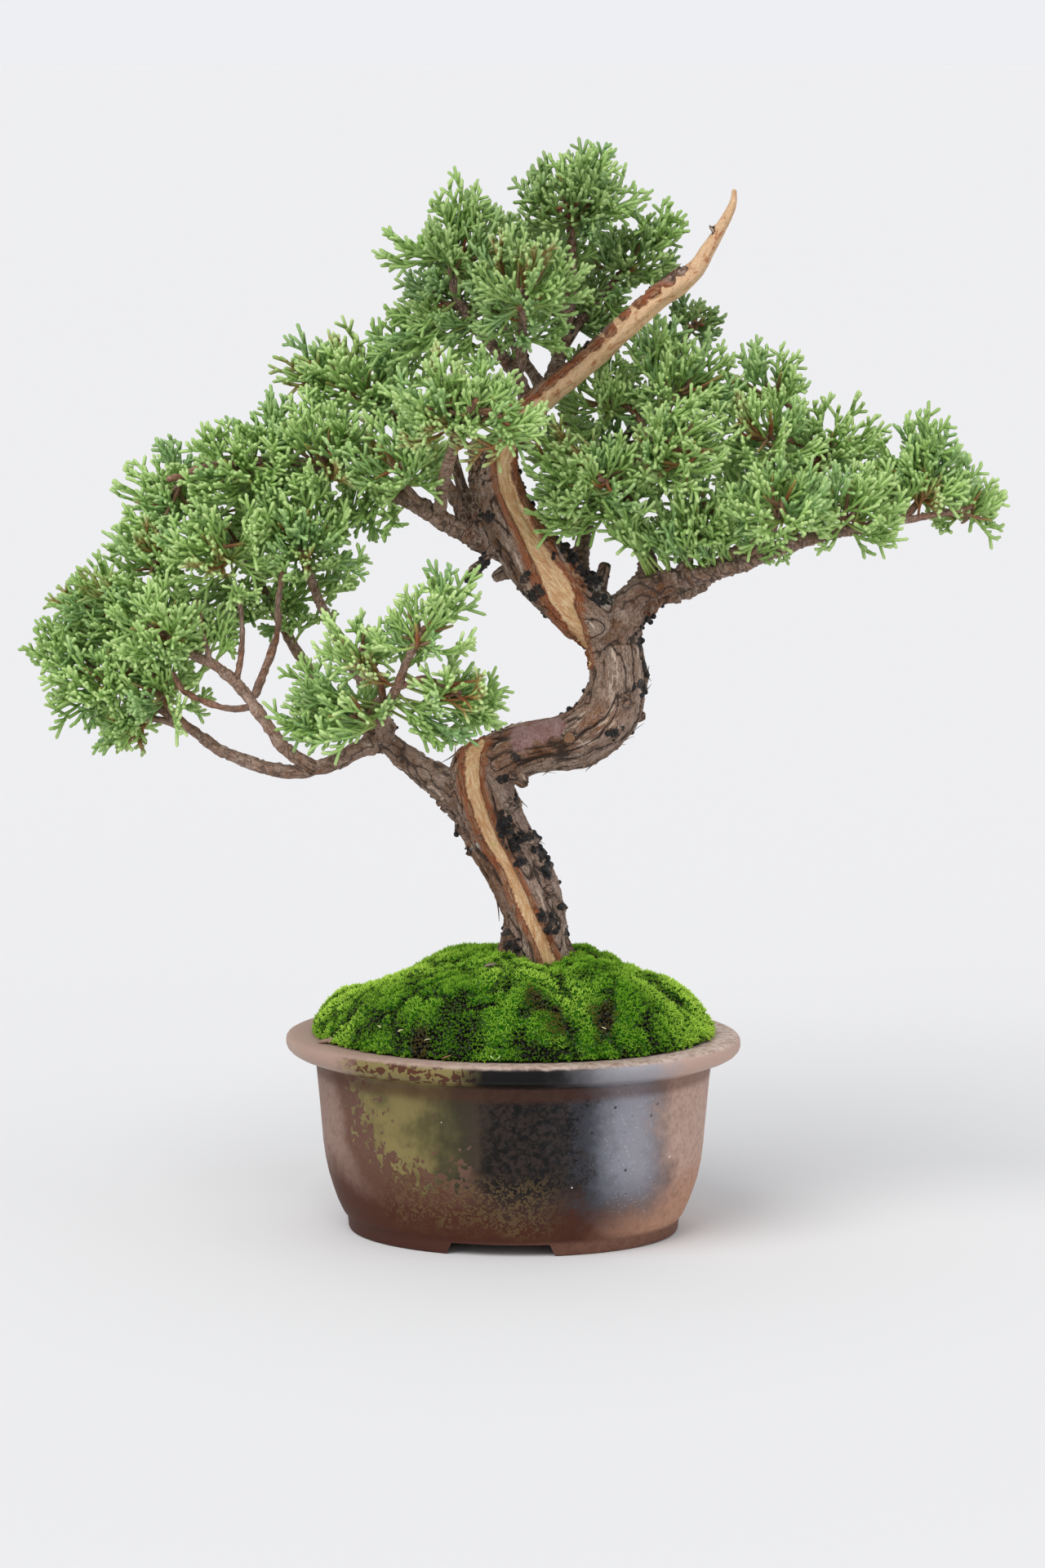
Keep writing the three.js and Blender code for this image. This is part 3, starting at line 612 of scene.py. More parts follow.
# The mound as a closed skin: under it the soil's top, then its low wall on the soil, then its top
def mossMound():
    half, lip, angles = moss["width"] / 2, moss["lip"], turnsOf(moss["steps"])

    def ring(radius, height):
        x, y = oval(radius, angles)
        return np.stack([x, y, height(x, y)], -1)

    def soilTop(x, y):
        fall = moss["thickness"] * (1 - ovalReach(x, y) / (lip - 14))
        return moundTop(x, y, 2 * (lip - 15)) - fall + moss["gap"]

    under = [ring(radius, soilTop) for radius in (10, 26, 42, lip - 15)]
    foot = [(lip - 12.5, moss["gap"]), (half - 1, moss["gap"]), (half - 0.2, 1.2), (half - 0.5, 3.0)]
    edge = [ring(radius, lambda x, y, z=z: 0 * x + moss["rim"] + z) for radius, z in foot]
    shares = np.linspace(1, 0.02, moss["rings"])
    over = [ring((half - 0.9) * share ** 0.8, mossTop) for share in shares]
    middle = np.zeros(1)
    ends = [(0, 0, height(middle, middle)[0]) for height in (soilTop, mossTop)]
    return skinOf(np.stack(under + edge + over), *ends)


# How well the moss grows at each place, from 0 in creases and thin spots to 1 on the cushions
def vigourAt(x, y, z):
    cushion, clump = cushions(x, y)
    waver = 0.3 * noise(np.stack([x, y, z], -1), 5.0, 17)
    vigour = smoothStep(-0.9, 0.3, cushion + 0.8 * clump + waver)
    for spot in moss["thin"]:
        vigour = vigour * (1 - 0.8 * hill(x, y, *spot))
    return vigour


# Roots and headings of the tufts. They stand in even steps like a sunflower's seeds, as close on the
# slopes as on the top, and some more stand out of the low wall above the lip.
def tuftPlaces(rng):
    count, ratio, scatter = moss["tufts"], pot["depthRatio"], moss["scatter"]
    edge = moss["width"] / 2 - 0.4
    steps = np.linspace(0.0, edge, 400)
    fall = np.gradient(moundTop(steps, 0 * steps, moss["width"]), steps)
    area = np.concatenate([[0], np.cumsum((steps * np.sqrt(1 + fall ** 2))[1:])])
    order = np.arange(count) + 0.5
    radius = np.interp(order / count * area[-1], area, steps)
    angle = order * seedTurn
    x = radius * np.sin(angle) + rng.uniform(-scatter, scatter, count)
    y = (radius * np.cos(angle) + rng.uniform(-scatter, scatter, count)) * ratio
    step = 0.4
    slopeX = mossTop(x - step, y) - mossTop(x + step, y)
    slopeY = mossTop(x, y - step) - mossTop(x, y + step)
    normal = unit(unit(np.stack([slopeX, slopeY, np.full(count, 2 * step)], -1)) + 0.3 * up)

    extra = moss["wallTufts"]
    angle = 2 * np.pi * (np.arange(extra) + rng.uniform(-0.5, 0.5, extra)) / extra
    outward = np.stack([np.sin(angle), -np.cos(angle), 0.4 + 0 * angle], -1)
    wall = outward * np.array([1, ratio, 0]) * edge
    wall[:, 2] = moss["rim"] + rng.uniform(0.6, 3.2, extra)
    places = np.concatenate([np.stack([x, y, mossTop(x, y)], -1), wall])
    return places, np.concatenate([normal, unit(outward)])


# Each tuft has one spike up and the rest leaning out, and each spike is a thin point on three corners
def tuftSpikes(places, normal, vigour, rng):
    count, spikes = len(places), moss["spikes"]
    lean = np.concatenate([[0.1], np.full(spikes - 1, moss["lean"])])
    lean = lean + rng.uniform(-0.25, 0.25, (count, spikes))
    turn = rng.uniform(0, 2 * np.pi, (count, 1)) + np.arange(spikes) * 2 * np.pi / (spikes - 1)
    side = unit(np.cross(normal, np.array([0.31, 0.95, 0.02])))
    flat = turned(turn, side[:, None], np.cross(normal, side)[:, None])
    aim = turned(lean, normal[:, None], flat)
    length = moss["spike"] * rng.uniform(0.7, 1.2, (count, spikes)) * (0.55 + 0.5 * vigour)[:, None]
    length = length * rng.uniform(0.7, 1.25, (count, 1))
    root = (places - moss["rootDepth"] * up)[:, None]
    across = unit(np.cross(aim, up + 0.01))
    foot = turned(turnsOf(3), across[:, :, None], np.cross(aim, across)[:, :, None])
    feet = root[:, :, None] + moss["spikeWidth"] * foot
    tips = root + aim * length[..., None]
    points = np.concatenate([feet, tips[:, :, None]], 2).reshape(-1, 3)
    first = np.arange(count * spikes)[:, None] * 4
    corners = (0, 1, 3), (1, 2, 3), (2, 0, 3), (0, 2, 1)
    return points, [np.concatenate([first + np.array(face) for face in corners])]


# Tuft colours: brighter round the lushAndLit spots (lusher growth and painted light), brown where
# the moss is dry, dark at the feet (painted shade) and bright at the tips (fresh growth and painted
# highlight)
def tuftPaint(places, vigour, rng):
    x, y = places[:, 0], places[:, 1]
    # Round the lushAndLit spots the tips are painted brighter: lusher growth and painted light
    lushAndLit = sum(hill(x, y, *spot) for spot in moss["lushAndLit"])
    tone = 0.32 + 0.45 * layeredNoise(places, 14.0, 21) + 0.6 * lushAndLit
    tone = np.clip(tone + rng.uniform(-0.15, 0.15, len(places)), 0, 1)
    # Where vigour is low, in creases and thin spots, the tufts are painted darker: painted shade
    leaf = blended(mossShades["deep"], mossShades["leaf"], 0.1 + 0.9 * vigour)
    tip = blended(mossShades["leaf"], mossShades["tip"], 0.1 + 0.9 * tone * vigour)
    tip = tip * ((0.5 + 0.5 * vigour) * (0.9 + 0.22 * tone))[:, None]
    dry = smoothStep(0.45, 0.8, layeredNoise(places, 9.0, 31)) * smoothStep(0.5, 0.1, vigour)
    for spot in moss["dry"]:
        spread = hill(x, y, *spot) + 0.35 * noise(places, 2.2, 33)
        dry = np.maximum(dry, smoothStep(0.35, 0.8, spread) * 0.85)
    leaf = blended(leaf, mossShades["brown"], dry)
    tip = blended(tip, mossShades["brown"], dry)
    # The feet are darkened towards the bed's painted shade
    foot = 0.4 * leaf + 0.6 * blended(mossShades["shadedBed"], mossShades["deep"], vigour)
    corners = np.stack([foot] * 3 + [tip], 1)
    return withAlpha(np.repeat(corners[:, None], moss["spikes"], axis=1).reshape(-1, 3))


# A look whose colour was worked out point by point, with fine noise over it
def paintedLook(name, fixed, cell, contrast, bump):
    material, shader, place = newLook(name, fixed)
    fine = noiseAt(place, cell, 4, 0.6)
    shade = brightened(markOf(place, "paint"), (fine - 0.5) * contrast)
    connect(shader, Base_Color=shade, Normal=bumpOf(fine, bump))
    return material


# Things lying on the moss (x, y, z, length, half width, heading, lift, shade): a seedling's two
# leaves and bud, dead leaves, curls, a bit of bark and straws
litter = [
    (-0.8, -52.6, 66.6, 2.6, 0.7, 155, 1.8, "seedling"), (-0.2, -52.6, 66.6, 2.4, 0.7, 25, 2.0, "seedling"),
    (-0.4, -52.8, 66.4, 1.8, 0.5, 95, 2.4, "seedling"), (-61.5, -25, 65.7, 6.5, 1.5, -12, 1.6, "leafLitter"),
    (-57.5, -27.6, 66.2, 3.6, 1.1, 60, 2.4, "leafLitter"), (-18, -51.4, 66.4, 4.2, 0.6, 12, 1.4, "curl"),
    (-9, -50.6, 68, 2.6, 0.4, 160, 1.0, "curl"), (-7, -26, 92, 4.2, 0.9, 8, 1.2, "barkBit"),
    (-33, -43.6, 73.4, 2.0, 0.3, 30, 0.8, "straw"), (-39, -40, 74, 1.8, 0.3, 130, 0.6, "straw"),
    (-24, -48, 71.6, 2.2, 0.3, -20, 0.8, "straw"), (13, -46, 76, 1.8, 0.3, 40, 0.7, "straw"),
    (34, -41, 75, 1.8, 0.3, 150, 0.7, "straw"), (-13, -49.6, 69.6, 1.6, 0.3, 60, 0.9, "straw"),
]


# Flat six-sided slips, widest in the middle, that rise along their length
def mossLitter():
    rows = np.array([row[:7] for row in litter], float)
    length, halfWidth, heading, rise = rows[:, 3:].T[..., None]
    heading = np.radians(heading)
    along = np.stack([np.cos(heading), np.sin(heading), 0 * heading], -1)
    share = np.linspace(0, 1, 6)
    paths = rows[:, None, :3] + (share * length)[..., None] * along
    paths = paths + (rise * share * (1.7 - share))[..., None] * up
    width = halfWidth * np.array([0.35, 0.8, 1.0, 0.95, 0.7, 0.25])
    points, faces = tubes(paths, width, 6, up, np.array([-0.75, -0.15, -0.15, -0.75, -0.15, -0.15]))
    shades = np.array([mossShades[row[7]] for row in litter])
    return points, faces, withAlpha(perPoint(np.broadcast_to(shades[:, None], paths.shape), 6))


def buildMoss():
    shadedBed = paintedLook("mossBedLook", {"Roughness": 0.95, "Specular IOR Level": 0.1}, 0.9, 0.26, 1.0)
    look = paintedLook("mossLook", {"Roughness": 0.7, "Specular IOR Level": 0.12}, 0.8, 0.03, 0.05)
    points, faces = mossMound()
    green = smoothStep(0.15, 0.8, vigourAt(*points.T))
    # The bed is painted dark where the moss grows poorly: painted shade in its creases and thin spots
    paint = withAlpha(blended(mossShades["shadedBed"], mossShades["under"], green))
    makePiece("mossBed", points, faces, shadedBed, "moss", ["moss"], {"paint": paint})
    rng = np.random.default_rng(seeds["moss"])
    places, normal = tuftPlaces(rng)
    vigour = vigourAt(*places.T)
    points, faces = tuftSpikes(places, normal, vigour, rng)
    marks = {"paint": tuftPaint(places, vigour, rng)}
    makePiece("mossTufts", points, faces, look, "moss", marks=marks, smooth=False)
    points, faces, paint = mossLitter()
    makePiece("mossLitter", points, faces, look, "moss", marks={"paint": paint})


# Wood: limbs are rows of (x, z, depth, radius) along the middle line, in the front outline
trunkRows = {
    "lower": [(9, 60, 0, 9), (9, 72, 0, 11), (9, 86, 0, 10.4), (8, 95, -1, 9.8), (6, 108, -1, 10),
              (1.3, 120, -1, 10.5), (-5.6, 133, 0, 10.9), (-10.5, 145, 0, 11), (-12.2, 154, 0, 8.7),
              (-12.5, 160, 0, 5)],
    "middle": [(-11, 149, 0, 7.5), (-7, 154, 0, 9), (2, 158.8, -1, 8.8), (12, 161, -2, 8.7),
               (22, 164, -3, 9.6), (31, 171, -3, 10), (34, 181, -2, 9.6), (33, 192, 0, 9.2),
               (31, 201, 1, 7.5)],
    "upper": [(33, 194, 1, 7.5), (28.6, 200.5, 1, 9.2), (21.4, 206.4, 1, 9.7), (13.4, 214.4, 0, 9.9),
              (5.4, 223.5, -1, 9.7), (-1, 234, -2, 8.9), (-5, 246, -3, 7.6), (-4, 257, -4, 5.6),
              (1, 266, -5, 4.6), (10, 275, -6, 4.2), (20, 283, -8, 4.1), (35, 296.4, -10, 4.2),
              (47, 306.8, -12, 4), (53.4, 311.6, -13, 4.3), (59.2, 316.2, -14, 2.9),
              (63.4, 322.8, -14.5, 2.0), (67.4, 330, -15, 1.6), (70.9, 337.0, -16, 1.2),
              (71.4, 341.8, -16, 0.7)],
}
roots = {
    "buttress": [(4, 106, -3, 3.5), (1, 98, -4, 4.2), (-2.4, 88, -5, 4), (-6, 76, -6, 3)],
    "rootRight": [(11, 102, 2, 3.5), (16, 92, 1, 4.5), (19, 82, 0, 4), (22, 72, -1, 3)],
    "rootBack": [(8, 104, 5, 3.5), (9, 93, 9, 4.5), (10, 83, 12, 4), (11, 72, 15, 3)],
}
limbs = {
    "low": [(-14, 143, 0, 6.8), (-21, 146.8, -1, 6.2), (-28.5, 151.8, -3, 5.2), (-35.5, 157.2, -5, 4.4),
            (-42, 161.8, -7, 3.7), (-50, 159.6, -9, 3), (-58, 155.6, -10, 2.7), (-66, 153, -10, 2.6),
            (-75, 152.4, -8, 2.4), (-85, 155, -5, 2.2), (-95, 159, -1, 2), (-105, 166, 3, 1.8),
            (-117, 174, 8, 1.6), (-130, 181, 13, 1.3), (-140, 190, 16, 1)],
    "lowInner": [(-65, 153, -10, 2.4), (-75, 160.4, -13, 2.2), (-83.4, 172.4, -14, 2), (-88, 178.8, -14, 2),
                 (-97.6, 187.4, -13, 1.8), (-105.6, 191.6, -10, 1.6), (-114, 198, -4, 1.4),
                 (-124, 206, 4, 1.1)],
    "lowBack": [(-45, 164, -8, 2.3), (-55, 172, -2, 2.1), (-62, 180, 4, 2), (-68, 188, 9, 1.9),
                (-74, 198, 13, 1.8), (-80, 210, 16, 1.6), (-88, 224, 17, 1.4), (-97, 237, 15, 1.1)],
    "lowMiddle": [(-40, 165, -7, 2.2), (-47, 178, -6, 2), (-53, 188, -5, 1.9), (-58, 198, -5, 1.8),
                  (-63, 208, -6, 1.6), (-68, 222, -8, 1.4), (-72, 236, -8, 1.1)],
    "lowFront": [(-41, 163, -8, 2.2), (-43, 166, -22, 1.9), (-42, 172, -36, 1.7), (-38, 180, -47, 1.5),
                 (-34, 190, -52, 1.2), (-30, 197, -54, 1)],
    "left": [(3, 224, 0, 5), (-6, 226, -1, 4), (-13, 229, -2, 3.4), (-20, 233, -3, 3.1),
             (-28, 238, -4, 3), (-38, 243, -3, 2.6), (-50, 248, 0, 2.3), (-64, 252, 3, 2),
             (-80, 254, 5, 1.7), (-96, 253, 6, 1.5), (-112, 248, 6, 1.1)],
    "leftFront": [(-24, 236, -4, 2.2), (-23, 245, -18, 2), (-20, 256, -34, 1.8), (-16, 267, -48, 1.4),
                  (-12, 274, -56, 1)],
    "leftRise": [(-14, 230, -2, 2.4), (-20, 244, 4, 2.1), (-30, 258, 11, 1.8), (-40, 270, 16, 1.4),
                 (-46, 277, 18, 1)],
    "right": [(33, 196, 0, 7), (37, 206, -1, 5.8), (42, 212, -3, 5), (50, 215, -6, 3.8),
              (62, 217, -10, 3.2), (75, 221, -13, 2.8), (86, 225.6, -14, 2.6), (98, 229.3, -12, 2.4),
              (112, 232, -8, 1.9), (126, 234.6, -3, 1.4), (139, 237, 2, 1.0), (149, 239, 5, 0.8)],
    "rightRise": [(41, 211, -2, 4), (44, 219, -2, 3.4), (42, 228, -3, 2.8), (39, 238, -5, 2.4),
                  (40, 249, -7, 2), (44, 260, -7, 1.6), (48, 270, -5, 1.1)],
    "rightBack": [(38, 204, 2, 4.5), (48, 210, 10, 3.8), (60, 214, 19, 3.2), (70, 222, 26, 2.8),
                  (80, 230, 30, 2.3), (90, 242, 31, 1.9), (98, 254, 28, 1.5), (104, 262, 24, 1.1)],
    "rearStem": [(22, 208, 4, 4), (22, 220, 14, 3.2), (24, 234, 25, 2.6), (28, 248, 36, 2.1),
                 (34, 258, 44, 1.6), (40, 266, 49, 1.1)],
    "top": [(2, 262, -2, 3.4), (9, 272, 6, 3), (14, 284, 12, 2.6), (17, 297, 13, 2.2), (19, 310, 12, 1.8),
            (19, 324, 8, 1.4), (18, 334, 4, 1)],
    "topLeft": [(6, 270, -4, 2.8), (1, 282, -3, 2.4), (-6, 291, -4, 2.1), (-13, 299, -5, 1.8),
                (-19, 310, -7, 1.4), (-20, 320, -8, 1)],
    "topFront": [(2, 284, -5, 2), (3, 292, -14, 1.7), (3, 301, -24, 1.4), (3, 310, -31, 1)],
    "topBack": [(10, 277, 9, 2.2), (4, 286, 20, 1.9), (-2, 296, 30, 1.6), (-4, 306, 37, 1)],
    "topRight": [(16, 292, 13, 2), (24, 302, 17, 1.7), (32, 311, 18, 1.4), (38, 318, 17, 1)],
}
# Thin bare twigs between the limbs and the sprays
bareTwigs = [
    [(-84.5, 177, -14, 1.5), (-79.4, 190, -15, 1.3), (-76.8, 199, -16, 1.25), (-76.6, 208, -17, 1.1),
     (-74, 222, -16, 0.8)],
    [(-90, 183, -14, 1.1), (-88.6, 193, -15, 0.9), (-88.5, 203, -16, 0.8), (-90, 213, -16, 0.6)],
    [(-99, 188, -13, 1.0), (-101, 198, -15, 0.8), (-103, 209, -16, 0.6)],
    [(-83.5, 174, -13, 1.4), (-92, 173, -14, 1.2), (-101, 175.4, -13, 1.1), (-107.5, 179, -12, 1.0),
     (-111, 185, -11, 0.8)],
]
# Broken, burnt and pruned stubs, from the root of each to its end
stubs = [
    [(-4, 229, -4, 2), (-9, 222, -7, 1.4), (-13, 218, -8, 2.2)],
    [(-12, 219, -8, 1.6), (-15, 215, -8, 1.2)],
    [(24, 203, 2, 3.5), (28, 212, 4, 2.6), (30, 220, 5, 1.8)],
    [(26, 210, 4, 2.2), (22, 216, 6, 1.4)],
    [(19, 163, -9, 3), (18, 164, -13.5, 2.4)],
    [(36, 176, -9, 3), (38, 176, -13, 2.2)],
    [(39.6, 185, 0, 3), (42.6, 187.6, -1, 2)],
    [(40, 171.4, 0, 2.6), (42.4, 170, -1, 1.7)],
    [(3, 130, -7, 2.6), (6, 131, -10.5, 1.8)],
    [(-1, 141, -8, 2.4), (2, 142, -11, 1.8)],
    [(10, 112, -7, 2.6), (13, 113, -10, 1.8)],
    [(-14, 134, -2, 2.4), (-18, 135, -3, 1.6)],
    [(0, 152, -6, 3), (4, 148, -8, 2)],
    [(65, 328, -15, 1.2), (63.2, 330.6, -15, 0.5)],
    [(58, 316, -14, 1.2), (61.6, 315.2, -13, 0.5)],
    [(-2, 218, 2, 2.6), (-6, 216, 3, 1.8)],
    [(-6, 226, -1, 4.6), (-8.6, 234, -2, 4.6), (-10, 243, -3, 4.2), (-11, 252, -4, 3.6), (-11.6, 260, -4, 3)],
    [(-12, 232, 3, 2.6), (-14.6, 240, 6, 2.2), (-17.6, 249, 9, 1.9), (-20, 258, 12, 1.6)],
]


# A smooth curve through the rows, sampled every step along its length. Its slope at each row is
# weighed by the square roots of the distances beside it, so that it doesn't loop between close rows.
# The radius goes with it as a fourth number.
def curveThrough(rows, step):
    rows = np.array(rows, float)
    places = np.concatenate([seen(rows[:, :3]), rows[:, 3:]], 1)
    padded = np.concatenate([[2 * places[0] - places[1]], places, [2 * places[-1] - places[-2]]])
    knots = np.sqrt(np.linalg.norm(np.diff(padded[:, :3], axis=0), axis=1))[:, None]
    jumps = np.diff(padded, axis=0)
    before, after = knots[:-1], knots[1:]
    slopes = jumps[:-1] / before - (jumps[:-1] + jumps[1:]) / (before + after) + jumps[1:] / after
    share = np.linspace(0, 1, 24, endpoint=False)[:, None]
    spans = []
    for start, end, knot, leave, reach in zip(places, places[1:], knots[1:], slopes, slopes[1:]):
        a, b = leave * knot, reach * knot
        spans.append(start + a * share + (3 * (end - start) - 2 * a - b) * share ** 2
                     + (2 * (start - end) + a + b) * share ** 3)
    dense = np.concatenate(spans + [places[-1:]])
    length = np.concatenate([[0], np.cumsum(np.linalg.norm(np.diff(dense[:, :3], axis=0), axis=1))])
    even = np.linspace(0, length[-1], max(3, round(length[-1] / step) + 1))
    return np.stack([np.interp(even, length, dense[:, axis]) for axis in range(4)], -1), even


# A curve with the arms that bark is laid out by
def stemOf(rows, step=1.0):
    curve, along = curveThrough(rows, step)
    start = np.gradient(curve[:, :3], axis=0)[0]
    aside = abs(unit(start) @ forward) > 0.9
    tangent, out, side = (arm[0] for arm in armsAlong(curve[None, :, :3], up if aside else forward))
    return {"at": curve[:, :3], "radius": np.maximum(curve[:, 3], 0.5), "along": along,
            "tangent": tangent, "out": out, "side": side}


# The nearest centre to each point, and how far off it is as a share of that centre's reach
def nearestSample(points, centres, reach):
    best = np.empty(len(points), np.int64)
    distance = np.empty(len(points))
    chunk = 4000
    for start in range(0, len(points), chunk):
        part = slice(start, start + chunk)
        gap = np.linalg.norm(points[part, None] - centres[None], axis=2) / reach
        best[part] = np.argmin(gap, axis=1)
        distance[part] = np.min(gap, axis=1)
    return best, distance


bark = {
    "voxel": 0.68, "blend": 3, "stretch": 0.24, "stemShift": 57.0, "stemSides": 28, "stubSides": 12,
    "fissure": 3.2, "fissureWidth": 0.14, "fissureDepth": 1.0, "flake": 2.6, "flakeDepth": 0.5,
    "lump": 8.0, "lumpHeight": 0.8, "crumb": 1.5, "crumbHeight": 0.35, "stripDepth": 1.3,
    "shreds": 150, "shredRoot": 0.25, "beads": 340, "beadSides": 7, "charCell": 2.0, "collar": (4.0, 2.2),
}
barkShades = {
    "grey": colour(160, 136, 120), "brown": colour(118, 86, 66), "pale": colour(214, 192, 174),
    "dark": colour(54, 42, 35), "warm": colour(132, 88, 60), "black": colour(30, 28, 28),
    "red": colour(96, 46, 28), "cream": colour(236, 206, 162), "tan": colour(208, 154, 102),
    "jin": colour(220, 184, 144), "purple": colour(142, 108, 104), "lichen": colour(200, 194, 182),
    "young": colour(150, 84, 46), "rust": colour(160, 86, 44), "lip": colour(166, 122, 88),
    "greenish": colour(196, 178, 104), "ash": colour(78, 74, 72),
    "pinkish": colour(170, 138, 120), "cutLight": colour(176, 134, 100), "cutDark": colour(116, 80, 58),
}
# Bare strips (x, z, half width) up the trunk's front
strips = [
    [(13.5, 80, 1.9), (11.6, 90, 2.0), (8.7, 97, 2.0), (5.2, 104, 2.1), (2.2, 111, 2.1), (-2.2, 121, 1.9),
     (-6.6, 128, 2.0), (-10.0, 136, 2.3), (-13.0, 146, 2.4), (-13.6, 152, 2.5), (-13.2, 159, 2.6),
     (-10.5, 163, 1.8)],
    [(24.6, 188, 1.2), (21.8, 196, 1.9), (18.8, 202, 2.6), (16.2, 208, 3.6), (15.2, 213, 4.2),
     (11.6, 219, 3.6), (7.8, 226, 3.0), (4.6, 232, 2.7), (1.0, 239, 2.6), (-2.2, 247, 2.6), (-2.6, 255, 2.9),
     (0.6, 263, 3.2), (8.5, 271, 3.2), (19.8, 280, 3.2), (35.5, 293, 3.3), (48.5, 304.5, 4.2)],
]
# Patches on the front (x, z, radius, rise): burnt bark, smooth purple bark, lichen
burnt = [
    (-3.1, 134, 4, 1.2), (-0.9, 129, 4.2, 1.4), (1.8, 122, 3.6, 1.2), (6.8, 131, 3.2, 1.6),
    (9, 125.5, 3, 1.4), (10.5, 119.5, 3.4, 1.2), (15.3, 108, 1.8, 1.4), (9.2, 104, 3.2, 1.0),
    (12.2, 100.5, 3, 1.2), (17, 99, 2.2, 1.2), (-1.6, 99, 3, 1.2), (-0.5, 94, 4, 0.8), (-18.6, 133, 2.2, 1.4),
    (-14.2, 126, 2.2, 1.2), (1.2, 156.5, 2.6, 0.5), (-3.6, 150, 3, 0.4), (2.4, 144, 1.8, 0.8),
    (14.5, 226, 4, 1.6), (18.6, 222.5, 4, 1.6), (22.2, 218, 4, 1.4), (25.4, 214.5, 4, 1.2),
    (28.4, 208.5, 3, 0.8), (30.5, 221, 4.5, 0.8), (43, 187, 3, 0.7), (42, 181, 3.6, 0.7),
    (40.8, 195, 3, 0.5), (43, 202.5, 3, 1.4), (-8, 236, 3, 1.0), (8, 212, 4, 0.8), (4, 217, 3, 1.0),
    (-14, 215, 7, 0.3), (-10, 221, 5, 0.1), (33, 165, 4, 0.6),
]
smoothBark = [(3, 163, 5.5), (9, 166, 5.5), (14, 167, 4)]
lichen = [(30.2, 209, 3.2), (27.5, 213, 2.0), (-12.5, 127.5, 1.6)]
cutFaces = [(18.4, 163.8, 2.6)]
barkOnTop = [(6, 276, 3.4), (11, 280, 3.4), (16, 284.4, 3.6), (21, 288.6, 3.4), (26, 292.8, 3.4),
             (31, 297.2, 3.4), (36, 301.8, 3.2), (40.5, 306, 3.2), (45, 309.8, 3.8), (49.5, 313.4, 3.8),
             (53.5, 316, 3.2)]


# How far into a strip each point of the outline lies: 0 on its middle line, 1 at its edge
def stripShare(x, z, rows):
    rows = np.array(rows, float)
    steps = np.linspace(0, len(rows) - 1, 12 * len(rows))
    line = np.stack([np.interp(steps, np.arange(len(rows)), rows[:, axis]) for axis in range(3)], -1)
    _, share = nearestSample(np.stack([x, z], -1), line[:, :2], line[:, 2])
    return share


# Bark relief in millimetres on points laid out along (grain): fissures where a stretched noise
# crosses zero, plates in steps between them, lumps and crumbs. scale is 1 on the trunk. The first
# two noises go into the look too, which draws the fine lines at the same places.
def barkRelief(grain, scale, seed):
    crossing = layeredNoise(grain / scale, bark["fissure"], seed, 3)
    fissure = 1 - smoothStep(0.0, bark["fissureWidth"], np.abs(crossing))
    plates = noise(grain / scale + 40, bark["flake"], seed + 5) * 2.5
    steps = plates - np.floor(plates)
    flake = smoothStep(0, 0.25, steps) * (1 - steps)
    lumps = noise(grain / scale / np.array([1, 1, 0.4]), bark["lump"], seed + 9)
    crumbs = layeredNoise(grain / scale * np.array([1, 1, 2.0]), bark["crumb"], seed + 12, 2)
    relief = lumps * bark["lumpHeight"] + flake * bark["flakeDepth"] - fissure * bark["fissureDepth"]
    return relief + crumbs * bark["crumbHeight"], np.stack([crossing, plates, 0 * plates], -1)


# Bark colour in broad patches; the look adds the lines
def barkPaint(grain, scale, seed):
    tone = layeredNoise(grain / scale, 7.0, seed + 20)
    patches = layeredNoise(grain / scale / np.array([1, 1, 0.35]), 12.0, seed + 24, 2)
    paint = blended(barkShades["brown"], barkShades["grey"], smoothStep(-0.5, 0.35, tone))
    return blended(paint, barkShades["warm"], smoothStep(0.0, 0.5, patches) * 0.6)


# The shells joined into one skin of small even quads, as arrays of points, normals and quads
def remeshedSkin(shells):
    temporary = makePiece("woodShells", *merged(shells), bpy.data.materials.new("plain"), None)
    skin = temporary.modifiers.new("skin", "REMESH")
    skin.mode, skin.voxel_size = "VOXEL", bark["voxel"] * mm
    blend = temporary.modifiers.new("blend", "SMOOTH")
    blend.factor, blend.iterations = 0.5, bark["blend"]
    mesh = temporary.evaluated_get(bpy.context.evaluated_depsgraph_get()).to_mesh()
    points, normals = np.empty((2, len(mesh.vertices) * 3), np.float32)
    mesh.vertices.foreach_get("co", points)
    mesh.vertices.foreach_get("normal", normals)
    corners = np.empty(len(mesh.loops), np.int32)
    mesh.loops.foreach_get("vertex_index", corners)
    quads = corners.reshape(len(mesh.polygons), 4)
    bpy.data.objects.remove(temporary)
    return points.reshape(-1, 3).astype(float) / mm, normals.reshape(-1, 3).astype(float), quads


def stemTube(stem, sides):
    return tubes(stem["at"][None], stem["radius"][None], sides, stem["out"][0])


# The trunk's own lengths, and what grows out of them: roots, stubs and the collars of the limbs
def trunkStems():
    grown = [stemOf(rows) for rows in list(roots.values()) + stubs]
    least, share = bark["collar"]
    for rows in limbs.values():
        stem = stemOf(rows)
        near = stem["along"] < least + share * stem["radius"][0]
        collar = {key: value[near] for key, value in stem.items()}
        collar["radius"] = collar["radius"] * np.linspace(1.25, 0.8, near.sum())
        grown.append(collar)
    return [stemOf(rows) for rows in trunkRows.values()], grown


# Where points lie round their stem (two numbers) and along it, in millimetres, stretched so that
# the noises run along the wood
def grainOf(stem, index, points):
    rel = points - stem["at"][index]
    tangent, radius = stem["tangent"][index], stem["radius"][index]
    flat = crosswise(rel, tangent)
    angle = np.arctan2(np.sum(flat * stem["side"][index], 1), np.sum(flat * stem["out"][index], 1))
    along = stem["along"][index] + np.sum(rel * tangent, 1)
    return np.stack([np.cos(angle) * radius, np.sin(angle) * radius, along * bark["stretch"]], -1)


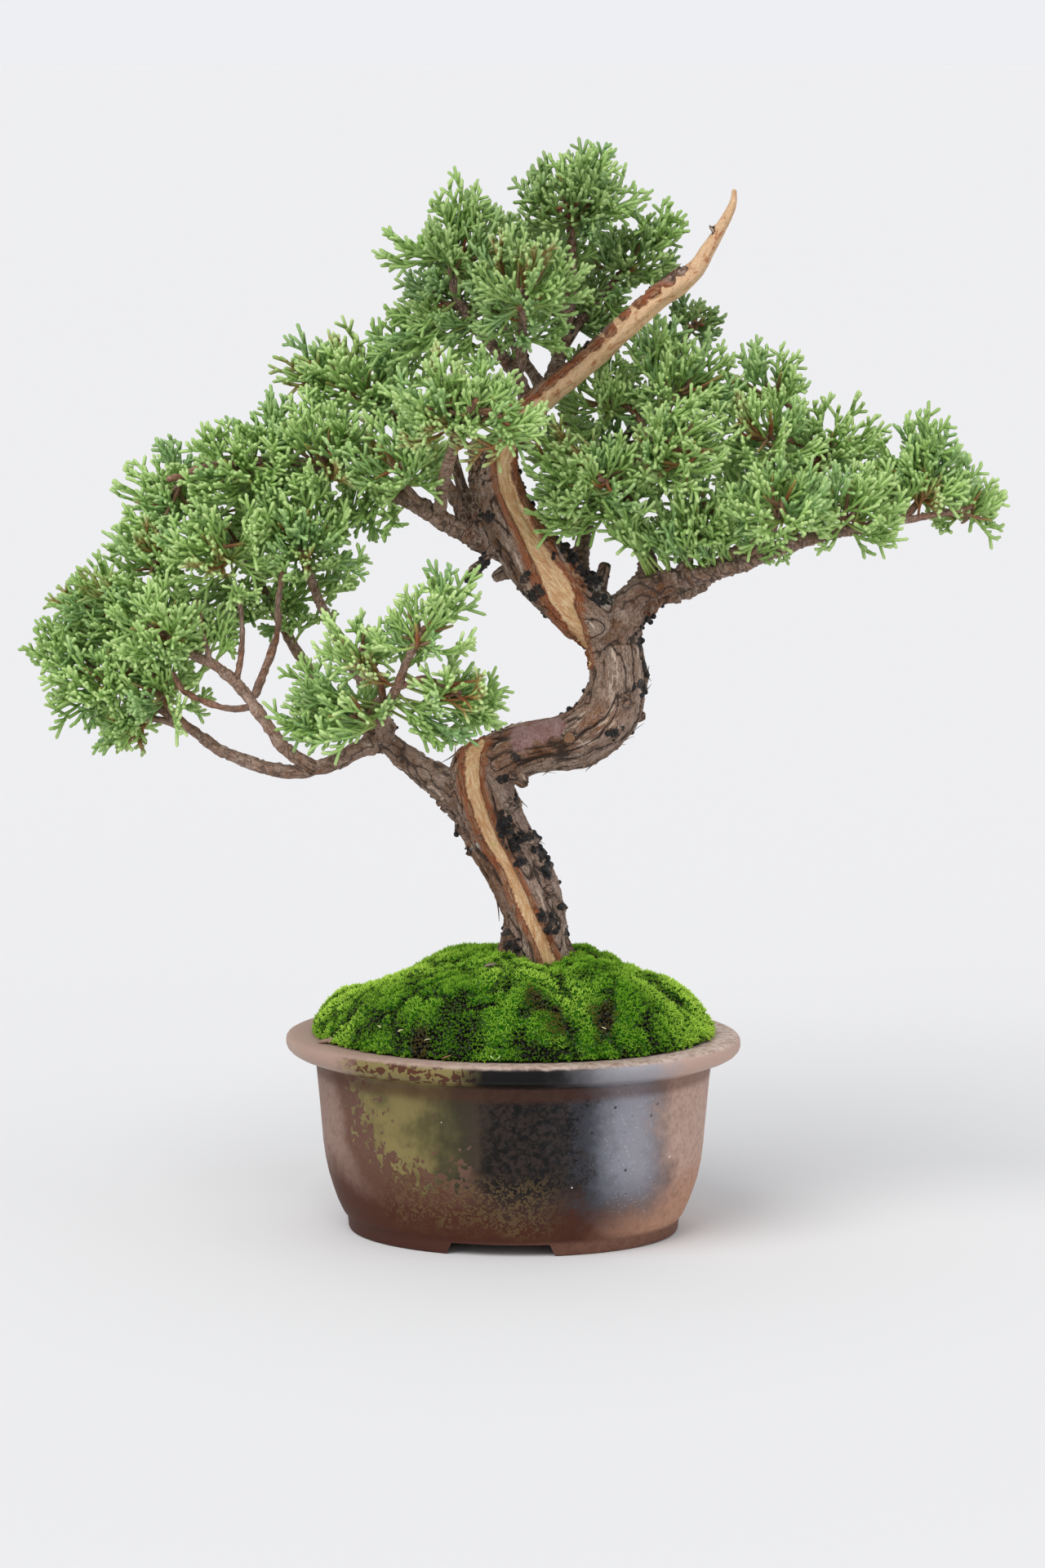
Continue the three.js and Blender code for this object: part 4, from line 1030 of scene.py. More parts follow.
# How far each point lies from the bare strips on the front: under 1 inside, 3 far off
def stripsOn(x, z, grain, facing):
    share = np.full(len(x), 3.0)
    waver = 0.15 * noise(grain * np.array([1, 1, 1.4]), 3.0, 41)
    for rows in strips:
        share = np.minimum(share, stripShare(x, z, rows) + waver)
    return 3 - (3 - share) * facing


# The dead top is bare: all round at its end, and below that on its underside
def deadWood(x, z, away, radius, isUpper, lumpy):
    under = np.sum(away * unit(np.array([0.6, -0.35, -0.7])), 1) / radius
    end = smoothStep(294, 308, z - 0.4 * (x - 48)) * isUpper
    dead = np.maximum(end, isUpper * smoothStep(-0.15, 0.3, under) * smoothStep(258, 266, z))
    return dead * (1 - spotsOn(x, z, barkOnTop, lumpy))


# Burnt knobs on the front and scattered ones behind: how burnt each point is, and its rise
def burntKnobs(points, x, z, facing, bare, lumpy):
    knobs = np.abs(noise(points, bark["charCell"], 58))
    rise, char = np.zeros((2, len(points)))
    for atX, atZ, size, height in burnt:
        spot = 1 - smoothStep(0.45, 1.1, np.hypot(x - atX, z - atZ) / size + 0.75 * lumpy)
        spot = spot * smoothStep(0.0, 0.4, facing) * (1 - bare)
        rise = rise + spot * height * (0.25 + 1.3 * knobs)
        char = np.maximum(char, spot)
    rear = smoothStep(0.5, 1.0, layeredNoise(points, 9.0, 55) + 0.4) * (1 - facing) * (1 - bare)
    return np.maximum(char, rear), rise + rear * 0.9 * knobs


def buildTrunk(look):
    trunk, grown = trunkStems()
    stems = trunk + grown
    shells = [stemTube(stem, bark["stemSides"]) for stem in trunk]
    points, normals, quads = remeshedSkin(shells + [stemTube(stem, bark["stubSides"]) for stem in grown])
    print("trunk skin,", len(quads) * 2, "triangles")

    joined = {key: np.concatenate([stem[key] for stem in stems]) for key in stems[0]}
    numbers = np.repeat(np.arange(len(stems)), [len(stem["at"]) for stem in stems])
    joined["along"] = joined["along"] + numbers * bark["stemShift"]
    index, _ = nearestSample(points, joined["at"], joined["radius"])
    grain = grainOf(joined, index, points)
    radius = joined["radius"][index]
    scale = np.clip(radius / 7.5, 0.4, 1.0)[:, None]
    relief, cracks = barkRelief(grain, scale, seeds["bark"])
    # Where the trunk's own lengths meet, their bark fades into each other
    gaps = np.sort([nearestSample(points, stem["at"], stem["radius"])[1] for stem in trunk], axis=0)
    own = smoothStep(0.02, 0.25, gaps[1] - gaps[0])
    cracks = 0.45 + (cracks - 0.45) * own[:, None]
    relief = relief * scale[:, 0] * (0.3 + 0.7 * own)

    # Bare strips on the front, sunk between two rolled lips
    x, z = outlineOf(points)
    away = points - joined["at"][index]
    facing = smoothStep(-0.05, 0.3, np.sum(away * forward, 1) / radius)
    lumpy = layeredNoise(points, 2.6, 51)
    share = stripsOn(x, z, grain, facing)
    isUpper = numbers[index] == list(trunkRows).index("upper")
    dead = deadWood(x, z, away, radius, isUpper, lumpy)
    bare = np.maximum(1 - smoothStep(0.85, 1.1, share), dead)
    lips = smoothStep(0.9, 1.15, share) * (1 - smoothStep(1.5, 2.2, share)) * (1 - bare)
    streak = noise(grain * np.array([1, 1, 0.5]), 1.1, 43)
    ridges = layeredNoise(grain * np.array([1, 1, 0.6]), 3.0, 44)
    woodRelief = 0.22 * streak + 0.45 * ridges * (1 + dead)
    sunk = -bark["stripDepth"] * bare * (1 - dead)
    relief = relief * (1 - bare) * (1 - 0.5 * lips) + bare * woodRelief + sunk + lips * (0.7 + 0.4 * streak)

    char, rise = burntKnobs(points, x, z, facing, bare, lumpy)
    smooth, pale, cut = (spotsOn(x, z, spots, lumpy) * facing for spots in (smoothBark, lichen, cutFaces))
    relief = (relief + rise) * (1 - 0.85 * np.maximum(smooth, cut))
    paint = barkPaint(grain, scale, seeds["bark"])
    paint = blended(paint, barkShades["purple"], smooth * (1 - bare))
    paint = blended(paint, barkShades["lichen"], pale * 0.8)
    points = points + normals * relief[:, None]
    marks = {
        "paint": np.concatenate([paint, smooth[:, None]], 1), "grain": grain * mm, "cracks": cracks,
        "zones": np.stack([share, char * 0.7, dead], -1), "cut": np.outer(cut, [1, 0, 0]),
    }
    tangents = joined["tangent"][index]
    peeling = (bare + smooth + cut < 0.2) & (radius > 4)
    shreds = barkShreds(points, normals, tangents, paint, peeling)
    beads = charBeads(points, normals, tangents, char * (cut < 0.1))
    skin = points, [quads], marks
    points, faces = merged([skin, shreds, beads])
    marks = {key: np.concatenate([part[2][key] for part in (skin, shreds, beads)]) for key in marks}
    makePiece("trunkSkin", points, faces, look, "wood", ["trunk"], marks)


# How much each point of the front outline lies in a list of round spots (x, z, radius)
def spotsOn(x, z, spots, waver):
    share = np.zeros(len(x))
    for atX, atZ, size in spots:
        spot = 1 - smoothStep(0.6, 1.0, np.hypot(x - atX, z - atZ) / size + 0.35 * waver)
        share = np.maximum(share, spot)
    return share


# Marks of points that are added to the skin: plain bark, or burnt where char is high
def plainMarks(paint, grain, char):
    none = np.zeros((len(grain), 1))
    return {
        "paint": withAlpha(paint, 0.0), "grain": grain * mm, "cracks": np.repeat(none + 0.4, 3, axis=1),
        "zones": np.concatenate([none + 3, none + char, none], 1), "cut": np.repeat(none, 3, axis=1),
    }


# Shreds of bark: flat ribbons along the wood that lift off at one end
def barkShreds(points, normals, tangents, paint, allowed):
    rng = np.random.default_rng(seeds["shreds"])
    count, rings, corners = bark["shreds"], 5, 4
    picked = rng.choice(np.flatnonzero(allowed), count, replace=False)
    start, normal = points[picked], normals[picked]
    along = crosswise(tangents[picked] * rng.choice([-1.0, 1.0], (count, 1)), normal)
    along = unit(along + rng.normal(0, 0.12, (count, 3)))[:, None]
    length = rng.uniform(2.5, 8.0, (count, 1, 1))
    lift = rng.uniform(0.1, 0.32, (count, 1, 1)) * length
    share = np.linspace(0, 1, rings)[None, :, None]
    root = (start - bark["shredRoot"] * normal)[:, None]
    paths = root + share * length * along + share ** 2.2 * lift * normal[:, None]
    width = rng.uniform(0.35, 1.0, (count, 1)) * np.array([0.9, 1.0, 0.95, 0.7, 0.3])
    made, faces = tubes(paths, width, corners, normal, np.array([-0.72, 0.0, -0.72, 0.0]))
    shade = perPoint(np.broadcast_to(paint[picked][:, None], paths.shape), corners) * 0.85
    grain = perPoint(paths * np.array([1, 1, bark["stretch"]]), corners)
    return made, faces, plainMarks(shade, grain, 0.0)


# Charred bark stands in clusters of beads: each a short round tube out of the skin
def charBeads(points, normals, tangents, char):
    rng = np.random.default_rng(seeds["beads"])
    picked = rng.choice(len(char), bark["beads"], replace=False, p=char / char.sum())
    size = rng.uniform(0.45, 1.15, (len(picked), 1))
    out = normals[picked] + rng.normal(0, 0.15, (len(picked), 3))
    paths = points[picked][:, None] + (size * np.array([-0.5, 0.3, 0.8]))[..., None] * out[:, None]
    width = size * np.array([0.75, 1.0, 0.66])
    made, faces = tubes(paths, width, bark["beadSides"], tangents[picked], tip=0.5)
    return made, faces, plainMarks(np.broadcast_to(barkShades["black"], made.shape), made, 2.0)


# Bark and bare wood. The painted bark gets dark lines in its cracks, fibres and crumbs; the bare
# strips have crisp wavering edges with red-brown lines beside them; burnt knobs are black.
def barkLook(paints):
    material, shader, place = newLook("barkLook", {"Specular IOR Level": 0.4})
    paint, smooth, grain = markOf(place, "paint"), markOf(place, "paint", 3), markOf(place, "grain", 1)
    crossing, plates, _ = markOf(place, "cracks", 1).parts()
    strip, char, dead = markOf(place, "zones", 1).parts()
    cut = markOf(place, "cut", 1).parts()[0]
    fibre = noiseAt(grain, 0.40, 4, 0.65)
    thread = noiseAt(grain, 1.1, 3, 0.6)
    crumb = noiseAt(place, 0.8, 5, 0.7)
    blotch = noiseAt(place, 3.2, 4, 0.6)
    speck = noiseAt(place, 0.62, 3, 0.6)

    rough = 1 - smooth
    crack = (1 - (crossing + (fibre - 0.5) * 0.25).size().between(0.02, 0.14)) * rough
    hair = (1 - (thread - 0.5).size().between(0.008, 0.035)) * 0.6 * rough
    shade = brightened(paint, (fibre - 0.5) * 0.22 + (crumb - 0.5) * 0.18 + (blotch - 0.5) * 0.28)
    shade = mixed((1 - plates.fraction().between(0.0, 0.12)) * rough * 0.5, shade, paints["dark"])
    shade = mixed(plates.between(0.3, 1.6) * thread.between(0.42, 0.66) * 0.7 * rough, shade, paints["pale"])
    shade = mixed(hair.larger(crack * 0.92), shade, paints["dark"])
    shade = mixed(speck.between(0.58, 0.68) * 0.6, shade, paints["dark"])

    # Red-brown lines in the rolled lips run beside the bare wood
    edge = strip + (blotch - 0.5) * 0.4 + (thread - 0.5) * 0.22
    ripple = (edge * 4.2 + (thread - 0.5) * 1.6).fraction()
    lips = mixed(thread.between(0.4, 0.6), paints["rust"], paints["lip"])
    lips = mixed((1 - (ripple - 0.5).size().between(0.06, 0.22)) * 0.85, lips, paints["red"])
    shade = mixed(edge.band(0.9, 1.0, 1.5, 2.2) * 0.85, shade, lips)

    # Bare wood: cream with tan and greenish streaks and a few dark pits; orange on the dead top
    bare = (1 - edge.between(0.9, 1.0)).larger(dead.between(0.4, 0.6))
    wood = mixed(thread.between(0.35, 0.65), paints["cream"], paints["tan"])
    wood = mixed(blotch.between(0.55, 0.75) * 0.6, wood, paints["greenish"])
    top = mixed(blotch.between(0.5, 0.62) * thread.between(0.4, 0.6), paints["jin"], paints["rust"])
    wood = mixed(dead * 0.8, wood, top)
    wood = mixed((1 - (fibre - 0.5).size().between(0.0, 0.07)) * 0.6, wood, paints["lip"])
    wood = mixed((1 - dotsAt(place, 3.4).between(0.05, 0.1)) * 0.6, wood, paints["red"])
    shade = mixed(bare, shade, wood)
    shade = mixed(cut.between(0.5, 0.6), shade, mixed(blotch, paints["cutLight"], paints["cutDark"]))
    shade = mixed(cut.band(0.05, 0.3, 0.45, 0.6) * 0.9, shade, paints["dark"])

    # Burnt knobs, black with ashy specks
    burning = (char + (crumb - 0.5) * 0.8 + (blotch - 0.5) * 0.8).between(0.5, 0.66) * (1 - bare)
    ash = mixed(crumb.between(0.55, 0.75) * 0.5, paints["black"], paints["ash"])
    shade = mixed(burning * 0.95, shade, ash)
    roughness = 0.85 - bare * 0.35 - smooth * 0.35 - burning * 0.3
    height = crumb * 0.7 - crack * 0.8 - hair * 0.5 - speck.between(0.55, 0.7) * 0.3
    height = (height * (1 - bare) + fibre * 0.5) * (1 - smooth * 0.35)
    connect(shader, Base_Color=shade, Roughness=roughness, Normal=bumpOf(height, 0.5, 0.8))
    return material


# Limbs and the shoots that carry the sprays: knobbly tubes with the same bark, finer. Thin twigs
# are warmer in colour, low down more than in the crown.
def buildLimbs(sprays, look):
    rng = np.random.default_rng(seeds["limbs"])
    shells, marked = [], []
    twigs = [twigRows(spray) for spray in sprays] + bareTwigs
    for number, rows in enumerate(list(limbs.values()) + twigs):
        step, sides = (0.9, 14) if rows[0][3] > 1.9 else (1.5, 7)
        stem = stemOf(rows, step)
        angles, radius = turnsOf(sides), stem["radius"][:, None]
        along = stem["along"][:, None] * 0.4 + bark["stemShift"] * number + 0 * angles
        grain = np.stack([np.cos(angles) * radius, np.sin(angles) * radius, along], -1)
        scale = np.clip(radius / 4.5, 0.3, 0.8)[..., None]
        seed = seeds["limbBark"] + number
        relief, cracks = barkRelief(grain, scale, seed)
        knobs = noise(grain * np.array([0.5, 0.5, 1.0]), 1.6, 61)
        relief = relief * scale[..., 0] * 1.05 / radius + 0.15 * knobs
        shells.append(tubes(stem["at"][None], radius.T * 0.96, sides, stem["out"][0], relief[None]))
        young = smoothStep(1.9, 1.0, radius) * smoothStep(-0.3, 0.4, noise(grain, 6.0, 80))
        inCrown = np.mean(stem["at"][:, 2]) > 262
        slim = smoothStep(3.8, 1.8, radius) * (0.4 if inCrown else 1.0)
        paint = barkPaint(grain, scale, seed)
        paint = blended(paint, barkShades["pinkish"], 0.08 + 0.47 * slim + 0.2 * knobs)
        paint = blended(paint, barkShades["young"], young * 0.45) * rng.uniform(0.9, 1.12)
        none = np.zeros((*paint.shape[:2], 1))
        spots = 0.2 * noise(grain, 5.0, 84)[..., None]
        fields = {
            "paint": np.concatenate([paint, none + 0.08 + 0.36 * slim[..., None]], 2), "grain": grain * mm,
            "cracks": cracks, "zones": np.concatenate([none + 3, spots, none], 2),
            "cut": np.repeat(none, 3, axis=2),
        }
        marked.append({key: ringMarks(values) for key, values in fields.items()})
    points, faces = merged(shells)
    marks = {key: np.concatenate([part[key] for part in marked]) for key in marked[0]}
    makePiece("limbsAndShoots", points, faces, look, "wood", marks=marks)


# Numbers of a tube's rings in the order of its points; the tip takes those of the last ring
def ringMarks(values):
    return np.concatenate([values.reshape(-1, values.shape[-1]), values[-1:, 0]])


# Sprays of foliage (x, z, depth, reach), in the group of the limb that carries them
sprayGroups = {
    "top": [(19, 338, 0, 22), (8, 320, 30, 22), (25, 302, 25, 19)],
    "topLeft": [(-14, 323, -8, 21), (-24, 304, 4, 20)],
    "topFront": [(6, 313, -26, 23)],
    "topRight": [(40, 320, 16, 18)],
    "left": [(-36, 254, -14, 22), (-62, 257, -6, 22), (-89, 250, -4, 22), (-84, 240, 28, 22),
             (-113, 240, 16, 21)],
    "leftFront": [(-22, 273, -46, 22), (-3, 268, -50, 18)],
    "leftRise": [(-52, 279, 14, 23)],
    "lowMiddle": [(-70, 230, -12, 22)],
    "lowBack": [(-98, 226, -16, 22), (-118, 220, 6, 20)],
    "lowInner": [(-114, 200, -14, 21), (-132, 202, 14, 21)],
    "low": [(-135, 184, 4, 22), (-116, 181, -2, 19), (-128, 169, 8, 10)],
    "lowFront": [(-50, 193, -44, 18), (-29, 200, -54, 18), (-17, 178, -50, 17), (-52, 172, -40, 17)],
    "right": [(88, 241, -28, 21), (112, 240, -12, 20), (129, 250, 8, 21), (149, 238, 16, 16),
              (62, 237, -14, 19)],
    "rightRise": [(28, 248, -18, 21), (54, 259, -22, 22), (57, 280, 4, 22), (30, 275, 12, 21)],
    "rightBack": [(80, 262, -8, 22), (82, 279, 18, 18), (104, 258, 14, 21), (81, 246, 34, 22)],
    "rearStem": [(50, 256, 50, 22), (22, 257, 38, 20), (59, 299, 34, 10)],
}
# Forks on each side cord: place along it, which side, length as a share of the cord's, and how many
# of the outermost cords go without
foliage = {
    "boughs": 7, "boughJitter": 0.12, "boughBend": 0.05, "boughSag": 0.06,
    "sprigsPerArea": 0.042, "sprigJitter": 0.18,
    "fewest": 8, "depth": 0.94, "height": 0.86, "lowest": -0.66, "sprig": 21.5, "fullReach": 22.0,
    "sideCords": 5, "sideLength": (13.6, 6.4), "sideBend": 0.42, "fork": 0.76, "sideFork": 0.86,
    "forks": [(0.3, 1.0, 0.48, 0), (0.54, -1.0, 0.44, 0), (0.77, 1.0, 0.34, 1)], "shortest": 2.2,
    "cord": 0.63, "corners": 5, "scale": 1.4, "alongLimb": 5.0, "bunchPerArea": 0.05,
}
leafShades = {
    "deep": colour(152, 188, 98), "green": colour(167, 206, 114), "fresh": colour(203, 226, 152),
    "blue": colour(122, 168, 122), "stem": colour(160, 156, 82), "brown": colour(138, 104, 78),
    "rust": colour(158, 88, 56),
}


# The short shoot from its limb to a spray's middle starts one row before the nearest
def twigRows(spray):
    rows = limbs[spray["limb"]]
    at = np.array(spray["row"][:3], float)
    away = [math.dist(row[:3], at) for row in rows]
    nearest = int(np.argmin(away))
    root, bend = rows[max(1, nearest - 1)], rows[nearest]
    middle = 0.25 * np.array(root[:3]) + 0.35 * np.array(bend[:3]) + 0.4 * at
    return [(*root[:3], 1.38), (*middle, 1.1), (*at, 0.88)]


# Cords: each leaves its root in one direction and bends towards another,
# root + length · (s · out + bend · s² · (lean − out))
def cordPaths(root, out, lean, length, rings, bend):
    share = np.linspace(0, 1, rings)[:, None]
    turn = (lean - out)[..., None, :]
    steps = share * out[..., None, :] + bend * share ** 2 * turn
    return (root[..., None, :] + length[..., None, None] * steps).reshape(-1, rings, 3)


# A quadratic curve through three control points, and its heading
def bent(start, middle, end, share):
    share = share[..., None]
    start, middle, end = (points[:, None] for points in (start, middle, end))
    place = (1 - share) ** 2 * start + 2 * share * (1 - share) * middle + share ** 2 * end
    return place, unit((1 - share) * (middle - start) + share * (end - middle))


# Aims in even steps over a sphere, from its top down to the lowest height
def evenAims(count, rng, jitter, lowest=-1.0):
    order = np.arange(count)
    height = 1 - (1 - lowest) * (order + 0.5) / count
    angle = rng.uniform(0, 2 * np.pi) + order * seedTurn
    level = np.sqrt(1 - height ** 2)
    aims = np.stack([level * np.cos(angle), level * np.sin(angle), height], -1)
    return unit(aims + rng.normal(0, jitter, (count, 3)))


# Sprigs: a bent axis from start to end and a fan of cords to either side of it, each with three
# forks, the outermost with two. The groups hold paths, radii, tone, and age at root and tip.
def sprigGroups(start, middle, end, rng):
    count, sides, bend = len(start), foliage["sideCords"], foliage["sideBend"]
    size = np.linalg.norm(end - start, axis=1)

    def shares(low, high, rings):
        return np.broadcast_to(np.linspace(low, high, rings), (count, rings))

    axisPath, _ = bent(start, middle, end, shares(0.0, 1.0, 6))
    at = shares(0.24, 0.87, sides) + rng.uniform(-0.04, 0.04, (count, sides))
    root, heading = bent(start, middle, end, at)
    spin = rng.uniform(0, 2 * np.pi, (count, 1)) + np.pi * np.arange(sides)
    spin = spin + rng.normal(0, 0.55, (count, sides))
    flat = unit(np.cross(heading, up + np.array([0.013, 0.007, 0])))
    arm = turned(spin, flat, np.cross(heading, flat))
    out = turned(foliage["fork"] + rng.uniform(-0.24, 0.3, (count, sides)), heading, arm)
    first, less = foliage["sideLength"]
    length = (first - less * at) * (size[:, None] / 19) ** 0.5 * rng.uniform(0.78, 1.15, (count, sides))
    lean = unit(heading + 0.35 * up)
    sidePath = cordPaths(root, out, lean, length, 3, bend)

    normal = np.cross(heading, arm)
    along = unit(out + 0.4 * (lean - out))
    forkPaths, forkTones = [], []
    tone = rng.uniform(0, 1, count)
    for share, sign, part, without in foliage["forks"]:
        last = sides - without
        twist = rng.normal(0, 0.5, (count, last, 1))
        across = unit(np.cross(along, normal)[:, :last] * sign + twist * normal[:, :last])
        forkOut = turned(foliage["sideFork"], along[:, :last], across)
        place = root + length[..., None] * (share * out + bend * share ** 2 * (lean - out))
        forkLength = np.maximum(length[:, :last] * part, foliage["shortest"])
        forkLength = forkLength * rng.uniform(0.75, 1.25, (count, last))
        forkPaths.append(cordPaths(place[:, :last], forkOut, along[:, :last], forkLength, 2, 0.2))
        forkTones.append(np.repeat(tone, last))

    thick = foliage["cord"]
    return [
        (axisPath, thick * np.array([0.75, 0.82, 0.9, 1.0, 1.05, 0.9]), tone, 0.0, 1.0),
        (sidePath, thick * np.array([0.86, 1.06, 0.94]), np.repeat(tone, sides), 0.25, 1.0),
        (np.concatenate(forkPaths), thick * np.array([0.94, 1.0]), np.concatenate(forkTones), 0.45, 1.0),
    ]


# Cord groups made into shells with their marks. insideOf tells how far out of its spray a point
# lies; the first group may be bare stems.
def cordShells(groups, bareGroups, groupTone, insideOf, rng):
    shells, paints, grains = [], [], []
    corners = foliage["corners"]
    for number, (paths, radii, tone, young, ripe) in enumerate(groups):
        rings = paths.shape[1]
        tangent = unit(paths[:, 1] - paths[:, 0])
        helper = np.where(np.abs(tangent[:, 2:]) < 0.9, up, np.array([1.0, 0, 0]))
        radii = radii * rng.uniform(0.9, 1.1, (len(paths), 1))
        shells.append(tubes(paths, radii, corners, helper, twist=np.pi / corners, tip=1.1))
        age = np.broadcast_to(np.linspace(young, ripe, rings), (len(paths), rings))
        paint = leafPaint(number < bareGroups, groupTone, tone[:, None], age, insideOf(paths), rng)
        paints.append(perPoint(paint, corners))
        grains.append(cordGrain(paths, corners, np.pi / corners))
    points, faces = merged(shells)
    return points, faces, {"paint": np.concatenate(paints), "grain": np.concatenate(grains)}


# One spray: boughs from the end of its shoot, and sprigs from the boughs to all sides but the
# lowest. The sprigs turn up and on in the direction the shoot grows, away from the trunk.
def sprayShape(spray, rng):
    centre, reach = seen(spray["row"][:3]), spray["row"][3]
    twig = seen([row[:3] for row in twigRows(spray)])
    grow = unit(unit(twig[-1] - twig[-2]) + 0.3 * up + 0.6 * unit(centre * np.array([1, 1, 0])))
    ball = np.array([1.0, foliage["depth"], foliage["height"]]) * reach
    boughs, lowest = foliage["boughs"], foliage["lowest"]
    boughAim = evenAims(boughs, rng, foliage["boughJitter"], lowest)
    back = unit(twig[-2] - twig[-1]) * rng.uniform(0, 0.5, (boughs, 1)) * reach
    boughStart = centre + back + rng.normal(0, 0.4, (boughs, 3))
    boughEnd = centre + boughAim * ball * 0.5
    boughBend = (boughStart + boughEnd) / 2 + rng.normal(0, foliage["boughBend"] * reach, (boughs, 3))
    boughBend = boughBend - up * (foliage["boughSag"] * reach)
    boughPath, _ = bent(boughStart, boughBend, boughEnd, np.broadcast_to(np.linspace(0, 1, 6), (boughs, 6)))

    count = max(foliage["fewest"], round(foliage["sprigsPerArea"] * spray["open"] * reach ** 2))
    aim = evenAims(count, rng, foliage["sprigJitter"], lowest)
    outer = (np.arange(count) * 0.618 + rng.uniform()) % 1.0
    far = (0.42 + 0.52 * outer ** 0.6) * (1 + rng.normal(0, 0.08, count))
    end = centre + aim * ball * far[:, None]
    heading = aim * np.array([0.75, 0.75, 0.4]) + 0.55 * up + 0.45 * grow
    heading = unit(heading + rng.normal(0, 0.18, (count, 3)))
    wanted = end - heading * foliage["sprig"] * spray["long"] * (reach / foliage["fullReach"]) ** 0.5
    places = boughPath[:, 1:].reshape(-1, 3)
    nearest, _ = nearestSample(wanted, places, np.ones(len(places)))
    start = places[nearest]
    middle = end - heading * np.linalg.norm(end - start, axis=1)[:, None] * 0.5
    bough = (boughPath, np.array([0.85, 0.8, 0.72, 0.64, 0.56, 0.45]), np.zeros(boughs), 0.0, 0.6)
    groups = [bough] + sprigGroups(start, middle, end, rng)

    def insideOf(paths):
        return np.linalg.norm((paths - centre) / ball, axis=2)

    return cordShells(groups, 1, spray["tone"], insideOf, rng)


# Where the sprigs along each limb begin, as a share of its length, and loose bunches of sprigs
# (x, z, depth, reach) beside the limbs
limbStarts = {"right": 0.26, "rightRise": 0.2, "left": 0.4, "rearStem": 0.4, "low": 0.78}
looseBunches = {
    "lowFront": [(-66, 180, -34, 11), (-60, 166, -34, 9), (-22, 166, -44, 9), (-20, 211, -52, 9),
                 (-70, 168, -32, 8), (-9, 173, -44, 8)],
    "right": [(36, 236, -16, 9), (52, 229, -16, 10), (66, 231, -18, 10), (134, 261, 2, 9)],
    "rightRise": [(14, 246, -14, 10), (13, 258, -10, 9), (45, 293, 2, 10), (16, 236, -12, 8)],
    "left": [(-44, 237, -8, 9), (-60, 240, -4, 10), (-50, 236, -2, 8), (-78, 264, 2, 11),
             (-106, 253, 8, 10)],
    "leftRise": [(-66, 284, 16, 11), (-36, 290, 12, 11)],
    "lowBack": [(-84, 208, 6, 12), (-76, 202, 8, 9), (-68, 206, 6, 10), (-97, 206, 0, 11)],
    "lowMiddle": [(-60, 216, -6, 10)],
    "lowInner": [(-134, 213, 4, 10), (-143, 207, 6, 9), (-97, 197, -12, 7)],
    "low": [(-149, 192, 12, 11), (-143, 175, 8, 10), (-127, 164, 4, 8)],
    "top": [(24, 347, 2, 11), (34, 337, 4, 10)],
    "topLeft": [(-31, 320, -6, 11), (-17, 336, -8, 9), (-34, 293, 0, 11), (-21, 293, 2, 10),
                (-9, 289, -2, 11)],
    "topFront": [(9, 294, -14, 9), (-2, 297, -20, 9)],
    "topRight": [(48, 329, 12, 9), (30, 303, 14, 9)],
}


# Short sprigs straight off the limbs, along the last part of each, and those of the bunches
def limbSprigs(rng):
    starts, alongs = [], []
    for name, rows in limbs.items():
        stem = stemOf(rows)
        length = stem["along"][-1]
        places = np.arange(length * limbStarts.get(name, 0.6), length, foliage["alongLimb"])
        index = np.searchsorted(stem["along"], places)
        starts.append(stem["at"][index])
        alongs.append(stem["tangent"][index])
    start, along = np.concatenate(starts), np.concatenate(alongs)
    count = len(start)
    aim = rng.normal(0, 1, (count, 3)) + 0.8 * up
    aim = unit(aim - 0.8 * np.sum(aim * along, 1, keepdims=True) * along)
    size = rng.uniform(9, 15, (count, 1))
    middle = start + aim * size * 0.5
    end = middle + unit(aim + 0.8 * along + 0.3 * up) * size * 0.5
    sprigs = [(start, middle, end)]
    for name, bunches in looseBunches.items():
        stem = stemOf(limbs[name])
        for row in bunches:
            reach = row[3]
            aims = evenAims(max(5, round(foliage["bunchPerArea"] * reach ** 2)), rng, 0.2, foliage["lowest"])
            tips = seen(row[:3]) + aims * reach * 0.85
            nearest, _ = nearestSample(tips, stem["at"], np.ones(len(stem["at"])))
            roots = stem["at"][nearest]
            size = np.linalg.norm(tips - roots, axis=1)[:, None]
            sprigs.append((roots, tips - unit(aims + 0.4 * up) * size * 0.4, tips))
    start, middle, end = (np.concatenate(points) for points in zip(*sprigs))
    groups = sprigGroups(start, middle, end, rng)
    return cordShells(groups, 0, 0.4, lambda paths: 0.5 + 0.4 * noise(paths, 9.0, 91), rng)


# Where a point lies round its cord (cosine and sine) and along it, in scale leaves
def cordGrain(paths, corners, twist):
    count, rings = paths.shape[:2]
    angles = turnsOf(corners) + twist * np.arange(rings)[:, None]
    steps = np.linalg.norm(np.diff(paths, axis=1), axis=2)
    along = np.concatenate([np.zeros((count, 1)), np.cumsum(steps, axis=1)], 1) / foliage["scale"]
    around = np.broadcast_to(np.stack([np.cos(angles), np.sin(angles)], -1), (count, rings, corners, 2))
    grain = np.concatenate([around, np.broadcast_to(along[..., None, None], (count, rings, corners, 1))], 3)
    tips = (along[:, -1:] + 0.5) * up
    return np.concatenate([grain.reshape(-1, 3), tips])


